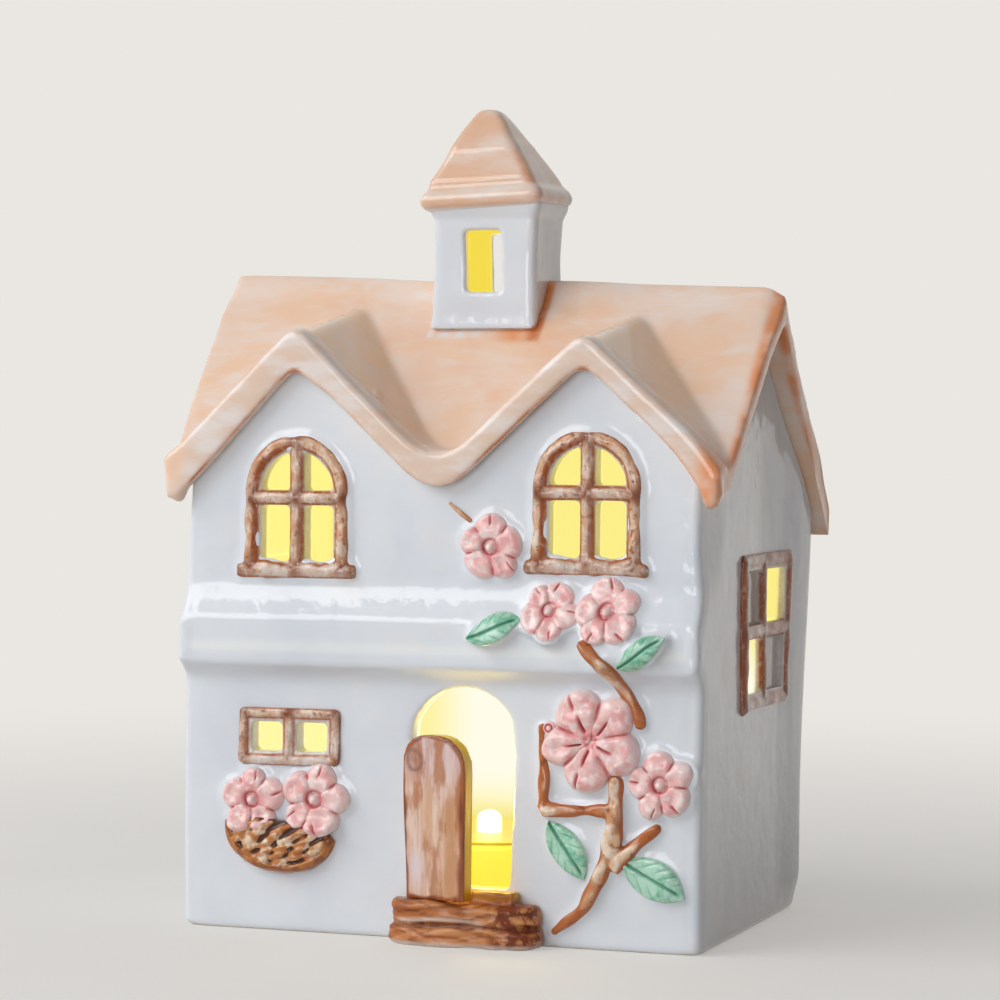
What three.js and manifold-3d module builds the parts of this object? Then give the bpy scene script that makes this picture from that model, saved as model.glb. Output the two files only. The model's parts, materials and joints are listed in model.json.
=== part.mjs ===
// Ceramic house night light: a glazed slip-cast cottage with an open bottom, standing over a small round
// LED light. Millimetres, +Z up, the front of the house looks along -Y.
import * as THREE from 'three';
import { mergeVertices } from 'three/addons/utils/BufferGeometryUtils.js';
import Module from 'manifold-3d';

const wasm = await Module();
wasm.setup();

// Fits
const seatGap = 0.3;
const runningGap = 0.3;

// House walls
const bodyWidth = 104;
const bodyDepth = 71;
const wallThickness = 4.5;
const cornerRadius = 3;
const footBevel = 0.8;

// Jetty: the upper storey swells forward and rolls back under its lip
const jettyReach = 5.6;
const jettyFoot = 47.5;
const jettyLip = 54.5;
const jettyTop = 68;

// Main roof, measured on its outer face
const eaveHeight = 82.8;
const eaveOverhang = 3.4;
const vergeOverhang = 3.6;
const ridgeOverhang = 5.6;
const ridgeOffset = 0.5;
const frontPitch = THREE.MathUtils.degToRad(46.7);
const rearPitch = THREE.MathUtils.degToRad(49.5);
const roofThickness = 4;

// Two dormer gables across the front, with a raised barge rim along their edge
const dormerOffset = 28.8;
const dormerRise = 31.5;
const dormerPitch = THREE.MathUtils.degToRad(42.5);
const dormerClimb = THREE.MathUtils.degToRad(9.5);
const dormerRounding = 3.5;
const valleyRounding = 9;
const bargeDepth = 4.6;
const bargeRise = 0.9;

// Bell tower on the ridge
const towerCentre = [-0.6, -0.1];
const towerWidth = 21.4;
const towerDepth = 18;
const towerWall = 3.2;
const towerRounding = 1.4;
const towerRise = 15.6;
// Its window corners, from the ridge up and from the tower's middle across
const towerWindow = { bottom: -2, top: 10.3, left: -4.3, right: 3.9, lean: 0.5 };

// Tower cap
const capRimOverhang = 1.7;
const capRimHeight = 3.8;
const capHeight = 20.2;
const capTipHalf = 1.5;
const capThickness = 3.4;

// Arched casements of the upper storey: centre and sill height of each
const leftWindow = { centre: -29.4, sill: 67.8 };
const rightWindow = { centre: 29, sill: 69.3 };
const archWindow = { halfPane: 7.6, stile: 3.2, sillHeight: 3.2, sillOverhang: 1.6, spring: 16.6 };
const transomHeight = 15.4;

// Rectangular casements: centre, sill height and pane field
const lowerWindow = { centre: -30.4, sill: 31.6, width: 15.4, height: 5.6, stile: 2.8 };
const sideWindow = { centre: 6.2, sill: 41.8, width: 24.4, height: 23.6, stile: 3.4 };

// What all casements share
const muntinWidth = 2.9;
const casementProud = 1.4;
const sillProud = 2.2;
const casementTongue = 1.2;
const blindRecess = 1.6;

// Doorway, with the lower left part hidden behind the leaf
const doorway = { left: -2.8, right: 15.4, sill: 10.2, sillRight: 14.4 };
const doorArch = { centre: 5.05, halfSpan: 11.4, spring: 34.8, rise: 12.9 };
const doorLeaf = { hinge: -5.2, width: 13.8, height: 30.6, arch: 6.9, thickness: 3.4, ajar: 12 };

// Doorstep of rough planks
const stepCentre = 5.4;
const stepHalfWidth = 16.2;
const stepProjection = 7.6;
const stepHeight = 8;
const threshold = { left: 7.6, right: 16.8, height: 10, projection: 4.6 };

// Sprigs on the front wall: centre on the wall, petal radius and turn in degrees
const highBlossomDrop = 8.6;
const blossoms = {
  blossom_high: { x: 10.3, z: eaveHeight - highBlossomDrop, radius: 6.7, turn: 90 },
  blossom_left: { x: 22.6, z: 62.7, radius: 5.9, turn: 60 },
  blossom_right: { x: 34.3, z: 62.6, radius: 6.3, turn: 100 },
  blossom_large: { x: 30.9, z: 38.5, radius: 10, turn: 110 },
  blossom_low: { x: 44.6, z: 30.4, radius: 6.7, turn: 100 },
  basket_blossom_left: { x: -37.6, z: 24.8, radius: 6.8, turn: 90 },
  basket_blossom_right: { x: -24.5, z: 25.2, radius: 7.1, turn: 75 },
};
const blossomHeight = 0.42;
const leaves = {
  leaf_upper_left: { x: 11.9, z: 59.2, length: 11, width: 5.4, turn: 18 },
  leaf_upper_right: { x: 41.2, z: 55.3, length: 10.8, width: 4.8, turn: 30 },
  leaf_lower_left: { x: 26.1, z: 18, length: 12.6, width: 6.2, turn: -58 },
  leaf_lower_right: { x: 43.1, z: 13.4, length: 13.4, width: 7, turn: -30 },
};
const leafHeight = 1.7;
const basket = { x: -32.2, z: 18.9, halfWidth: 11.4, depth: 7.4, crown: 3.1, height: 4.4, tilt: -7.5 };

// Stems: each point is its place across and up the wall and the stem's radius there
const stems = {
  trunk: [[35.6, 31.6, 1.5], [35.7, 26.3, 1.6], [35.1, 19.5, 1.7], [32.8, 13.8, 1.6], [29.6, 7.8, 1.2],
    [23.4, 3, 0.7]],
  trunkFork: [[44, 22.8, 0.9], [39.8, 19.4, 1.3], [35.3, 15.2, 1.4]],
  sideBranch: [[35.2, 25.5, 1.5], [27.2, 25.2, 1.4], [21.4, 25.2, 1.4]],
  sideShoot: [[20.9, 41, 0.7], [20.7, 37.4, 0.8], [21.6, 32, 1], [21.3, 25.6, 1.3]],
  upperBranch: [[29.7, 57, 1.1], [33.9, 52.8, 1.5], [37, 48, 1.4], [39.6, 44.6, 1.3], [40.3, 41.2, 0.9]],
  twig: [[1.6, eaveHeight - 0.2, 0.5], [3.8, eaveHeight - 1.9, 0.6], [6, eaveHeight - 3.6, 0.6]],
};

// Round LED light
const lightCentre = [-2, 0];
const lightRadius = 19.5;
const lightHeight = 16.8;
const lightWall = 1.5;
const lightBevel = 1.4;
const plateLift = 1;
const plateThickness = 1.6;
const bossCircle = 16;
const bossRadius = 1.9;
const bossAngles = [130, 310];
const screwRadius = 0.8;
const screwHeadRadius = 1.5;
const screwHeadHeight = 0.9;
const screwLength = 7;
const boardHeight = 9.4;
const boardThickness = 1.2;
const postCircle = 15.6;
const postRadius = 1.2;
const postAngles = [52, 180, 270];
const resistor = { x: 6, y: -4, length: 3.2, width: 1.6, height: 0.6 };

// Lamp of the light: a 5 mm LED
const ledRadius = 2.5;
const ledReach = 6.4;
const ledFlangeRadius = 2.9;
const ledFlangeHeight = 1;
const leadSpacing = 2.54;
const leadWidth = 0.5;

// Coin cell, 20 by 3.2 mm, in the cup of its turn-lock lid
const cellRadius = 10;
const cellHeight = 3.2;
const lidRadius = 12;
const lidThickness = 1.3;
const lidCupWall = 1.3;
const lidCupHeight = 3.6;
const lugReach = 1.6;
const lugWidth = 4;
const lugHeight = 1;
const lidTurn = 35;
const coinSlot = { length: 9, width: 1.8, depth: 0.6 };

// Leaf contacts of the cell: how far from the middle the one on top starts, bends, touches and ends
const contactThickness = 0.4;
const contactWidth = 3;
const contactRun = { start: -7, bend: -3.5, touch: 1.8, end: 2.8 };
const contactLift = 0.6;
const contactFoot = 2.6;

// Slide switch on the underside of the board
const switchOffset = 15.6;
const switchBody = { width: 7.4, depth: 3.2, height: 3.6 };
const switchTravel = 2;
const switchShoe = { width: 3, depth: 1.6, height: 1.2 };
const switchStem = { width: 1.2, depth: 1 };
const switchKnob = { width: 2.2, depth: 2, height: 2.5, recess: 0.5 };

const paint = (color, roughness, metalness = 0) =>
  new THREE.MeshStandardMaterial({ color, roughness, metalness });
const whiteGlaze = paint(0xdfe2e6, 0.12);
const peachGlaze = paint(0xecc5a4, 0.2);
const brownGlaze = paint(0xa8683c, 0.35);
const doorGlaze = paint(0xb08a70, 0.35);
const stepGlaze = paint(0x9a5c38, 0.35);
const pinkGlaze = paint(0xeeb0b0, 0.3);
const greenGlaze = paint(0x84c0a0, 0.3);
const milkyPlastic = paint(0xf4ecc8, 0.45);
const whitePlastic = paint(0xe8e8e4, 0.5);
const lampEpoxy = paint(0xfff6d8, 0.15);
const steel = paint(0xb8bcc0, 0.35, 0.9);
const boardLaminate = paint(0x2f6b45, 0.5);
const blackPlastic = paint(0x1c1c1e, 0.55);

const model = new THREE.Group();
const house = new THREE.Group();
const light = new THREE.Group();
model.add(house, light);

// Solids and shapes

const xAxis = new THREE.Vector3(1, 0, 0);
const yAxis = new THREE.Vector3(0, 1, 0);
const zAxis = new THREE.Vector3(0, 0, 1);

// Joins equal points and leaves out the empty triangles at poles.
function welded(geometry) {
  const bare = geometry.clone();
  for (const name of Object.keys(bare.attributes)) {
    if (name !== 'position') bare.deleteAttribute(name);
  }
  const merged = mergeVertices(bare, 1e-4);
  const corners = merged.index.array;
  const kept = [];
  for (let i = 0; i < corners.length; i += 3) {
    const [a, b, c] = [corners[i], corners[i + 1], corners[i + 2]];
    if (a !== b && b !== c && c !== a) kept.push(a, b, c);
  }
  merged.setIndex(kept);
  return merged;
}

function solidOf(geometry) {
  const closed = welded(geometry);
  return new wasm.Manifold(new wasm.Mesh({
    numProp: 3,
    vertProperties: new Float32Array(closed.attributes.position.array),
    triVerts: new Uint32Array(closed.index.array),
  }));
}

function geometryOf(solid) {
  const mesh = solid.getMesh();
  const geometry = new THREE.BufferGeometry();
  geometry.setAttribute('position', new THREE.BufferAttribute(new Float32Array(mesh.vertProperties), 3));
  geometry.setIndex(new THREE.BufferAttribute(new Uint32Array(mesh.triVerts), 1));
  return geometry;
}

function addPiece(parent, name, shape, material) {
  const geometry = shape.isBufferGeometry ? welded(shape) : geometryOf(shape);
  geometry.computeVertexNormals();
  const mesh = new THREE.Mesh(geometry, material);
  mesh.name = name;
  parent.add(mesh);
  return mesh;
}

// Closed outline through corner points; a third value is the setback of that corner's rounding.
function outline(points, cornerSteps = 2) {
  const count = points.length;
  const path = points.flatMap(([x, y, setback = 0], i) => {
    const corner = new THREE.Vector2(x, y);
    if (!setback) return [corner];
    const towards = ([u, v]) => new THREE.Vector2(u, v).sub(corner).setLength(setback).add(corner);
    const bend = new THREE.QuadraticBezierCurve(
      towards(points[(i + count - 1) % count]), corner, towards(points[(i + 1) % count]));
    return bend.getPoints(cornerSteps);
  });
  return new THREE.Shape(path);
}

function rectangle(left, right, bottom, top, setback = 0) {
  const corners = [[left, bottom], [right, bottom], [right, top], [left, top]];
  return outline(corners.map((corner) => [...corner, setback]));
}

function extrude(shape, depth) {
  return new THREE.ExtrudeGeometry(shape, { depth, bevelEnabled: false });
}

// Shape drawn in Y and Z, running along X
function extrudeX(shape, from, to) {
  return extrude(shape, to - from)
    .applyMatrix4(new THREE.Matrix4().makeBasis(yAxis, zAxis, xAxis))
    .translate(from, 0, 0);
}

// Shape drawn in X and Z, running along Y
function extrudeY(shape, from, to) {
  return extrude(shape, to - from)
    .applyMatrix4(new THREE.Matrix4().makeBasis(xAxis, zAxis, yAxis.clone().negate()))
    .translate(0, to, 0);
}

function extrudeZ(shape, from, to) {
  return extrude(shape, to - from).translate(0, 0, from);
}

function cylinder(radius, from, to, sides = 20) {
  return new THREE.CylinderGeometry(radius, radius, to - from, sides)
    .rotateX(Math.PI / 2)
    .translate(0, 0, (from + to) / 2);
}

function box(width, depth, from, to) {
  return new THREE.BoxGeometry(width, depth, to - from).translate(0, 0, (from + to) / 2);
}

// Profile of radius and height, turned about Z
function revolve(profile, segments) {
  const points = profile.map(([radius, z]) => new THREE.Vector2(radius, z));
  return new THREE.LatheGeometry(points, segments).rotateX(Math.PI / 2);
}

// Skin over a stack of rings with equal point counts, closed by fans; a tip moves a fan's centre.
function loft(rings, startTip, endTip) {
  const count = rings[0].length;
  const points = rings.flat();
  const index = [];
  for (let level = 0; level < rings.length - 1; level++) {
    for (let i = 0; i < count; i++) {
      const a = level * count + i;
      const b = level * count + (i + 1) % count;
      index.push(a, b, b + count, a, b + count, a + count);
    }
  }
  const centreOf = (ring) => ring.reduce((sum, p) => sum.add(p), new THREE.Vector3()).divideScalar(count);
  const close = (start, tip, flip) => {
    const centre = points.length;
    points.push(tip);
    for (let i = 0; i < count; i++) {
      const a = start + i;
      const b = start + (i + 1) % count;
      index.push(centre, ...(flip ? [b, a] : [a, b]));
    }
  };
  close(0, startTip ?? centreOf(rings[0]), true);
  close((rings.length - 1) * count, endTip ?? centreOf(rings[rings.length - 1]), false);
  const geometry = new THREE.BufferGeometry().setFromPoints(points);
  geometry.setIndex(signedVolume(points, index) < 0 ? index.reverse() : index);
  return geometry;
}

function signedVolume(points, index) {
  let volume = 0;
  for (let i = 0; i < index.length; i += 3) {
    const [a, b, c] = [points[index[i]], points[index[i + 1]], points[index[i + 2]]];
    volume += a.dot(b.clone().cross(c)) / 6;
  }
  return volume;
}

function roundedRing(left, right, front, back, radius, z, perCorner = 3) {
  const centres = [
    [right - radius, front + radius], [right - radius, back - radius],
    [left + radius, back - radius], [left + radius, front + radius],
  ];
  return centres.flatMap(([x, y], corner) =>
    Array.from({ length: perCorner + 1 }, (_, i) => {
      const angle = THREE.MathUtils.degToRad(90 * (corner - 1 + i / perCorner));
      return new THREE.Vector3(x + radius * Math.cos(angle), y + radius * Math.sin(angle), z);
    }));
}

// Evenly spaced values after the first, up to and with the last
function steps(from, to, count) {
  return Array.from({ length: count }, (_, i) => THREE.MathUtils.lerp(from, to, (i + 1) / count));
}

// Points of an elliptic arc; angles in degrees
function arc(x, y, halfWidth, halfHeight, from, to, count) {
  return steps(from, to, count).map((degrees) => {
    const angle = THREE.MathUtils.degToRad(degrees);
    return [x + halfWidth * Math.cos(angle), y + halfHeight * Math.sin(angle)];
  });
}

// House walls

const bodyHalf = bodyWidth / 2;
const halfDepth = bodyDepth / 2;
const ridgeHeight = eaveHeight + (halfDepth + eaveOverhang + ridgeOffset) * Math.tan(frontPitch);
const blockTop = ridgeHeight + roofThickness;

// How far the front wall swells forward at a height
function swell(z) {
  if (z <= jettyFoot || z >= jettyTop) return 0;
  const climb = z < jettyLip
    ? (z - jettyFoot) / (jettyLip - jettyFoot)
    : (jettyTop - z) / (jettyTop - jettyLip);
  return jettyReach * (0.5 - 0.5 * Math.cos(Math.PI * climb));
}

function houseRing(z, inset, radius) {
  return roundedRing(
    -bodyHalf + inset, bodyHalf - inset, -halfDepth - swell(z) + inset, halfDepth - inset, radius, z);
}

function houseHeights(lowerSteps, upperSteps) {
  return [
    footBevel, jettyFoot,
    ...steps(jettyFoot, jettyLip, lowerSteps), ...steps(jettyLip, jettyTop, upperSteps),
  ];
}

function houseBlock(grow) {
  return solidOf(loft([
    houseRing(0, footBevel - grow, cornerRadius),
    ...[...houseHeights(5, 7), blockTop].map((z) => houseRing(z, -grow, cornerRadius)),
  ]));
}

function houseCavity() {
  return solidOf(loft([
    houseRing(-1, wallThickness - footBevel, cornerRadius),
    houseRing(0, wallThickness - footBevel, cornerRadius),
    ...[...houseHeights(3, 4), blockTop + 1].map((z) => houseRing(z, wallThickness, cornerRadius)),
  ]));
}

// Roof

const vergeReach = bodyHalf + ridgeOverhang;
const eaveReach = halfDepth + eaveOverhang;
const beyond = 20;
const dormerApex = eaveHeight + dormerRise;
const mainDrop = roofThickness / Math.cos((frontPitch + rearPitch) / 2);
const dormerDrop = roofThickness / Math.cos(dormerPitch);

function mainOutline(reach, drop) {
  const apex = ridgeHeight - drop;
  const front = apex - (reach + ridgeOffset) * Math.tan(frontPitch);
  const rear = apex - (reach - ridgeOffset) * Math.tan(rearPitch);
  return outline([[-reach, -beyond], [reach, -beyond], [reach, rear], [ridgeOffset, apex], [-reach, front]]);
}

function dormerOutline(reach, drop) {
  const apex = dormerApex - drop;
  const valley = apex - dormerOffset * Math.tan(dormerPitch);
  const tip = apex - (reach - dormerOffset) * Math.tan(dormerPitch);
  return outline([
    [-reach, -beyond], [reach, -beyond], [reach, tip], [dormerOffset, apex, dormerRounding],
    [0, valley, valleyRounding], [-dormerOffset, apex, dormerRounding], [-reach, tip],
  ], 5);
}

// The dormers climb a little from their front to the main slope
const climbing = new THREE.Matrix4().makeShear(0, 0, 0, Math.tan(dormerClimb), 0, 0)
  .setPosition(0, 0, eaveReach * Math.tan(dormerClimb));

function dormers(reachX, drop, from, to) {
  return solidOf(extrudeY(dormerOutline(reachX, drop), from, to).applyMatrix4(climbing));
}

// Everything under a roof face lowered by the two drops
function underRoof(reachX, reachY, lowerMain, lowerDormers) {
  return solidOf(extrudeX(mainOutline(reachY, lowerMain), -reachX, reachX))
    .add(dormers(reachX, lowerDormers, -reachY, ridgeOffset));
}

const attic = underRoof(vergeReach + beyond, eaveReach + beyond, mainDrop, dormerDrop);
const bargeRim = dormers(vergeReach, -bargeRise, -eaveReach, -eaveReach + bargeDepth);
// The verges lean outward from the eaves to the ridge
const eaveSpan = bodyHalf + vergeOverhang;
const vergeLine = outline([
  [-eaveSpan, 0], [eaveSpan, 0], [eaveSpan, eaveHeight], [vergeReach, ridgeHeight], [vergeReach, blockTop],
  [-vergeReach, blockTop], [-vergeReach, ridgeHeight], [-eaveSpan, eaveHeight],
]);
const roofBulk = underRoof(vergeReach, eaveReach, 0, 0)
  .add(bargeRim)
  .intersect(solidOf(extrudeY(vergeLine, -eaveReach - 1, eaveReach + 1)));

function towerRing(halfWidth, halfDepth, radius, z) {
  const [x, y] = towerCentre;
  return roundedRing(x - halfWidth, x + halfWidth, y - halfDepth, y + halfDepth, radius, z, 2);
}

// Ring at a distance outside the tower's faces
function aroundTower(grow, z) {
  return towerRing(towerWidth / 2 + grow, towerDepth / 2 + grow, towerRounding, z);
}

const towerTop = ridgeHeight + towerRise;
const lightWell = solidOf(loft([aroundTower(-towerWall, 0), aroundTower(-towerWall, towerTop + 1)]));

addPiece(house, 'main_roof', roofBulk.subtract(attic).subtract(lightWell), peachGlaze);

// Tower, standing astride the ridge

const towerFloor = ridgeHeight - towerDepth;
const roofBed = underRoof(vergeReach, eaveReach, -2 * seatGap, -2 * seatGap);
const towerShell = solidOf(loft([aroundTower(0, towerFloor), aroundTower(0, towerTop)]));
const towerOpening = outline([
  [towerCentre[0] + towerWindow.left + towerWindow.lean, ridgeHeight + towerWindow.bottom, 0.8],
  [towerCentre[0] + towerWindow.right, ridgeHeight + towerWindow.bottom, 0.8],
  [towerCentre[0] + towerWindow.right - towerWindow.lean, ridgeHeight + towerWindow.top, 0.8],
  [towerCentre[0] + towerWindow.left, ridgeHeight + towerWindow.top, 0.8],
]);
const towerWindows = solidOf(extrudeY(towerOpening, -beyond, beyond));
addPiece(house, 'tower', towerShell.subtract(lightWell).subtract(roofBed).subtract(towerWindows), whiteGlaze);

// Tower cap: a rolled rim and four steep hips, hollow underneath

const capMiddle = 0.5 * (capRimHeight + capHeight);
const capBody = loft([
  aroundTower(capRimOverhang - 1.2, towerTop),
  aroundTower(capRimOverhang - 0.2, towerTop + 0.2 * capRimHeight),
  aroundTower(capRimOverhang, towerTop + 0.5 * capRimHeight),
  aroundTower(capRimOverhang - 0.4, towerTop + 0.8 * capRimHeight),
  aroundTower(0.4, towerTop + capRimHeight),
  towerRing(
    0.5 * (towerWidth / 2 + capTipHalf) + 0.4, 0.5 * (towerDepth / 2 + capTipHalf) + 0.4,
    towerRounding, towerTop + capMiddle),
  towerRing(capTipHalf, capTipHalf, 0.6 * capTipHalf, towerTop + capHeight - 0.8),
], undefined, new THREE.Vector3(...towerCentre, towerTop + capHeight));
const capHollow = loft([
  aroundTower(-towerWall, towerTop - 1),
  aroundTower(-towerWall, towerTop + capRimHeight - capThickness / 2),
  towerRing(capTipHalf, capTipHalf, 0.6 * capTipHalf, towerTop + capHeight - 2 * capThickness),
]);
addPiece(house, 'tower_cap', solidOf(capBody).subtract(solidOf(capHollow)), peachGlaze);

// Sprigs: moulded reliefs bedded on the front wall, which they follow over the jetty

const wallBed = houseBlock(seatGap);
const onWall = (x, z, height) => new THREE.Vector3(x, -halfDepth - swell(z) - seatGap - height, z);

// radiusAt(angle) gives the outline and heightAt(share, angle) the relief; the back has rings where it bends.
function relief({ x, z }, sectors, radiusAt, shares, heightAt, backShares = [1]) {
  const ring = (share, height) => Array.from({ length: sectors }, (_, i) => {
    const angle = 2 * Math.PI * i / sectors;
    const reach = share * radiusAt(angle);
    return onWall(x + reach * Math.cos(angle), z + reach * Math.sin(angle), height(share, angle));
  });
  const back = backShares.map((share) => ring(share, () => 0));
  const front = [...shares].reverse().map((share) => ring(share, heightAt));
  return solidOf(loft([...back, ...front], onWall(x, z, 0), onWall(x, z, heightAt(0, 0))));
}

// Prism over an outline grown by the seat gap, to clear its neighbours
function footprint({ x, z }, sectors, radiusAt) {
  const points = Array.from({ length: sectors }, (_, i) => {
    const angle = 2 * Math.PI * i / sectors;
    const reach = radiusAt(angle) + seatGap;
    return [x + reach * Math.cos(angle), z + reach * Math.sin(angle)];
  });
  return solidOf(extrudeY(outline(points), -halfDepth - beyond, -halfDepth + wallThickness / 2));
}

const petals = 5;
const petalSectors = 6 * petals;
const backRings = ({ z, radius }) => (z - radius < jettyTop && z + radius > jettyFoot ? [0.5, 1] : [1]);

function petalLobe(angle, turn) {
  return Math.abs(Math.cos(0.5 * petals * (angle - THREE.MathUtils.degToRad(turn))));
}

function blossomRadius({ radius, turn }) {
  return (angle) => radius * (0.7 + 0.3 * Math.sqrt(petalLobe(angle, turn)));
}

// A bead in a hollow, then petals that swell and fall to a thin edge
function blossomRelief({ radius, turn }) {
  const peak = blossomHeight * radius;
  return (share, angle) => {
    if (share < 0.2) return peak;
    if (share < 0.3) return 0.55 * peak;
    const dome = Math.sin(Math.PI * (0.35 + 0.55 * share));
    return peak * (0.3 + 0.6 * dome * (0.4 + 0.6 * petalLobe(angle, turn)));
  };
}

const blossomPrints = Object.fromEntries(Object.entries(blossoms).map(
  ([name, blossom]) => [name, footprint(blossom, petalSectors, blossomRadius(blossom))]));
const clearOf = (solid, prints) => prints.reduce((rest, print) => rest.subtract(print), solid);

const blossomNames = Object.keys(blossoms);
blossomNames.forEach((name, i) => {
  const blossom = blossoms[name];
  const solid = relief(blossom, petalSectors, blossomRadius(blossom), [0.19, 0.3, 0.65, 1],
    blossomRelief(blossom), backRings(blossom));
  const earlier = blossomNames.slice(0, i).map((other) => blossomPrints[other]);
  addPiece(house, name, clearOf(solid, earlier), pinkGlaze);
});
const allBlossoms = Object.values(blossomPrints);

// Leaves are pointed ovals with a groove along the midrib
const leafSectors = 24;
const leafPower = 1.6;

function leafRadius({ length, width, turn }) {
  return (angle) => {
    const along = Math.abs(Math.cos(angle - THREE.MathUtils.degToRad(turn))) / (length / 2);
    const across = Math.abs(Math.sin(angle - THREE.MathUtils.degToRad(turn))) / (width / 2);
    return (along ** leafPower + across ** leafPower) ** (-1 / leafPower);
  };
}

function leafRelief({ turn }) {
  return (share, angle) => {
    const offRib = Math.abs(Math.sin(angle - THREE.MathUtils.degToRad(turn)));
    return leafHeight * (0.35 + (1 - share * share) * (0.25 + 0.75 * Math.min(1, 2.5 * offRib * share)));
  };
}

const leafPrints = [];
for (const [name, leaf] of Object.entries(leaves)) {
  const spread = { ...leaf, radius: leaf.length / 2 };
  const solid = relief(
    leaf, leafSectors, leafRadius(leaf), [0.3, 0.7, 1], leafRelief(leaf), backRings(spread));
  leafPrints.push(footprint(leaf, leafSectors, leafRadius(leaf)));
  addPiece(house, name, clearOf(solid, allBlossoms), greenGlaze);
}

// Stems are tapering rolls of clay, flat where they bed on the wall
const stemSides = 7;

function stem(points) {
  const path = new THREE.CatmullRomCurve3(points.map(([x, z, radius]) => new THREE.Vector3(x, radius, z)));
  const count = 3 * (points.length - 1);
  const rings = Array.from({ length: count + 1 }, (_, i) => {
    const { x, y: radius, z } = path.getPoint(i / count);
    const run = path.getTangent(i / count);
    const side = new THREE.Vector3(run.z, 0, -run.x).normalize();
    const centre = onWall(x, z, 0.5 * radius);
    return Array.from({ length: stemSides }, (_, k) => {
      const angle = 2 * Math.PI * k / stemSides;
      return centre.clone()
        .addScaledVector(side, radius * Math.cos(angle))
        .addScaledVector(yAxis, radius * Math.sin(angle));
    });
  });
  return solidOf(loft(rings));
}

const sprigClearance = [...allBlossoms, ...leafPrints];
const trunk = [stems.trunkFork, stems.sideBranch, stems.sideShoot].reduce(
  (solid, points) => solid.add(stem(points)), stem(stems.trunk));
const woody = [
  ['blossom_trunk', trunk],
  ['upper_branch', stem(stems.upperBranch)],
  ['twig', stem(stems.twig)],
];
for (const [name, solid] of woody) {
  addPiece(house, name, clearOf(solid.subtract(wallBed), sprigClearance), brownGlaze);
}

// Basket: the front half of a bowl under the lower window, holding two blossoms
const basketSectors = 28;
function basketRadius(angle) {
  const turned = angle - THREE.MathUtils.degToRad(basket.tilt);
  const rise = Math.sin(turned) < 0 ? basket.depth : basket.crown;
  return 1 / Math.hypot(Math.cos(turned) / basket.halfWidth, Math.sin(turned) / rise);
}
const basketRelief = (share) => basket.height * (0.2 + 0.8 * Math.sqrt(1 - share ** 2.4));
const basketSolid = relief(basket, basketSectors, basketRadius, [0.3, 0.55, 0.78, 0.93, 1], basketRelief);
addPiece(house, 'flower_basket', clearOf(basketSolid, allBlossoms), stepGlaze);

// Casements: a flange proud of the wall and a tongue that lines the opening, both with the pane holes

function paneGrid({ centre, sill, width, height, stile }, rows) {
  const left = centre - width / 2;
  const bottom = sill + stile;
  const paneWidth = (width - muntinWidth) / 2;
  const paneHeight = (height - (rows - 1) * muntinWidth) / rows;
  const panes = [];
  for (let row = 0; row < rows; row++) {
    for (let column = 0; column < 2; column++) {
      const x = left + column * (paneWidth + muntinWidth);
      const z = bottom + row * (paneHeight + muntinWidth);
      panes.push(rectangle(x, x + paneWidth, z, z + paneHeight, 0.8));
    }
  }
  return panes;
}

const archSteps = 6;

function archPanes({ centre, sill }) {
  const { halfPane, sillHeight, spring } = archWindow;
  const bar = muntinWidth / 2;
  const springHeight = sill + spring;
  const transom = sill + transomHeight;
  const low = THREE.MathUtils.radToDeg(Math.asin((transom + bar - springHeight) / halfPane));
  const high = THREE.MathUtils.radToDeg(Math.acos(bar / halfPane));
  return [-1, 1].flatMap((side) => {
    const [inner, outer] = [centre + side * bar, centre + side * halfPane];
    const foot = sill + sillHeight;
    return [
      rectangle(Math.min(inner, outer), Math.max(inner, outer), foot, transom - bar, 0.8),
      outline([
        [inner, transom + bar], [outer, transom + bar],
        ...arc(centre, springHeight, side * halfPane, halfPane, low, high, archSteps),
      ]),
    ];
  });
}

function archOutline({ centre, sill }, halfSpan, bottom) {
  const springHeight = sill + archWindow.spring;
  return outline([
    [centre - halfSpan, sill + bottom], [centre + halfSpan, sill + bottom], [centre + halfSpan, springHeight],
    ...arc(centre, springHeight, halfSpan, halfSpan, 0, 180, 2 * archSteps),
  ]);
}

// wallFace is the distance of the wall's outer face, turn the side of the house it looks from;
// depths are counted from that face into the wall
function casement({ wallFace, turn = 0, flange, tongue, panes, blind = [], sillBar }) {
  const prism = (shape, from, to) => solidOf(extrudeY(shape, from - wallFace, to - wallFace).rotateZ(turn));
  let frame = prism(flange, -casementProud, casementTongue);
  if (sillBar) frame = frame.add(prism(sillBar, -sillProud, casementTongue));
  frame = frame.subtract(wallBed).add(prism(tongue, -casementProud / 2, wallThickness));
  panes.forEach((pane, i) => {
    frame = frame.subtract(prism(pane, -beyond, blind.includes(i) ? blindRecess : beyond));
  });
  return frame;
}

// A hole in the wall with the seat gap around a casement's tongue
function opening(shape, wallFace, turn = 0) {
  return solidOf(extrudeY(shape, -wallFace - beyond, -wallFace + wallThickness + jettyReach).rotateZ(turn));
}

const openings = [];

for (const [name, place] of [['left_arched_window', leftWindow], ['right_arched_window', rightWindow]]) {
  const { halfPane, stile, sillHeight, sillOverhang } = archWindow;
  const edge = halfPane + stile;
  const sillBar = rectangle(
    place.centre - edge - sillOverhang, place.centre + edge + sillOverhang,
    place.sill, place.sill + sillHeight - 0.4, 0.9);
  const tongueSpan = halfPane + casementTongue;
  const frame = casement({
    wallFace: halfDepth,
    flange: archOutline(place, edge, 0.2),
    tongue: archOutline(place, tongueSpan, sillHeight - casementTongue),
    panes: archPanes(place),
    sillBar,
  });
  addPiece(house, name, clearOf(frame, allBlossoms), brownGlaze);
  openings.push(opening(
    archOutline(place, tongueSpan + seatGap, sillHeight - casementTongue - seatGap), halfDepth));
}

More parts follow.
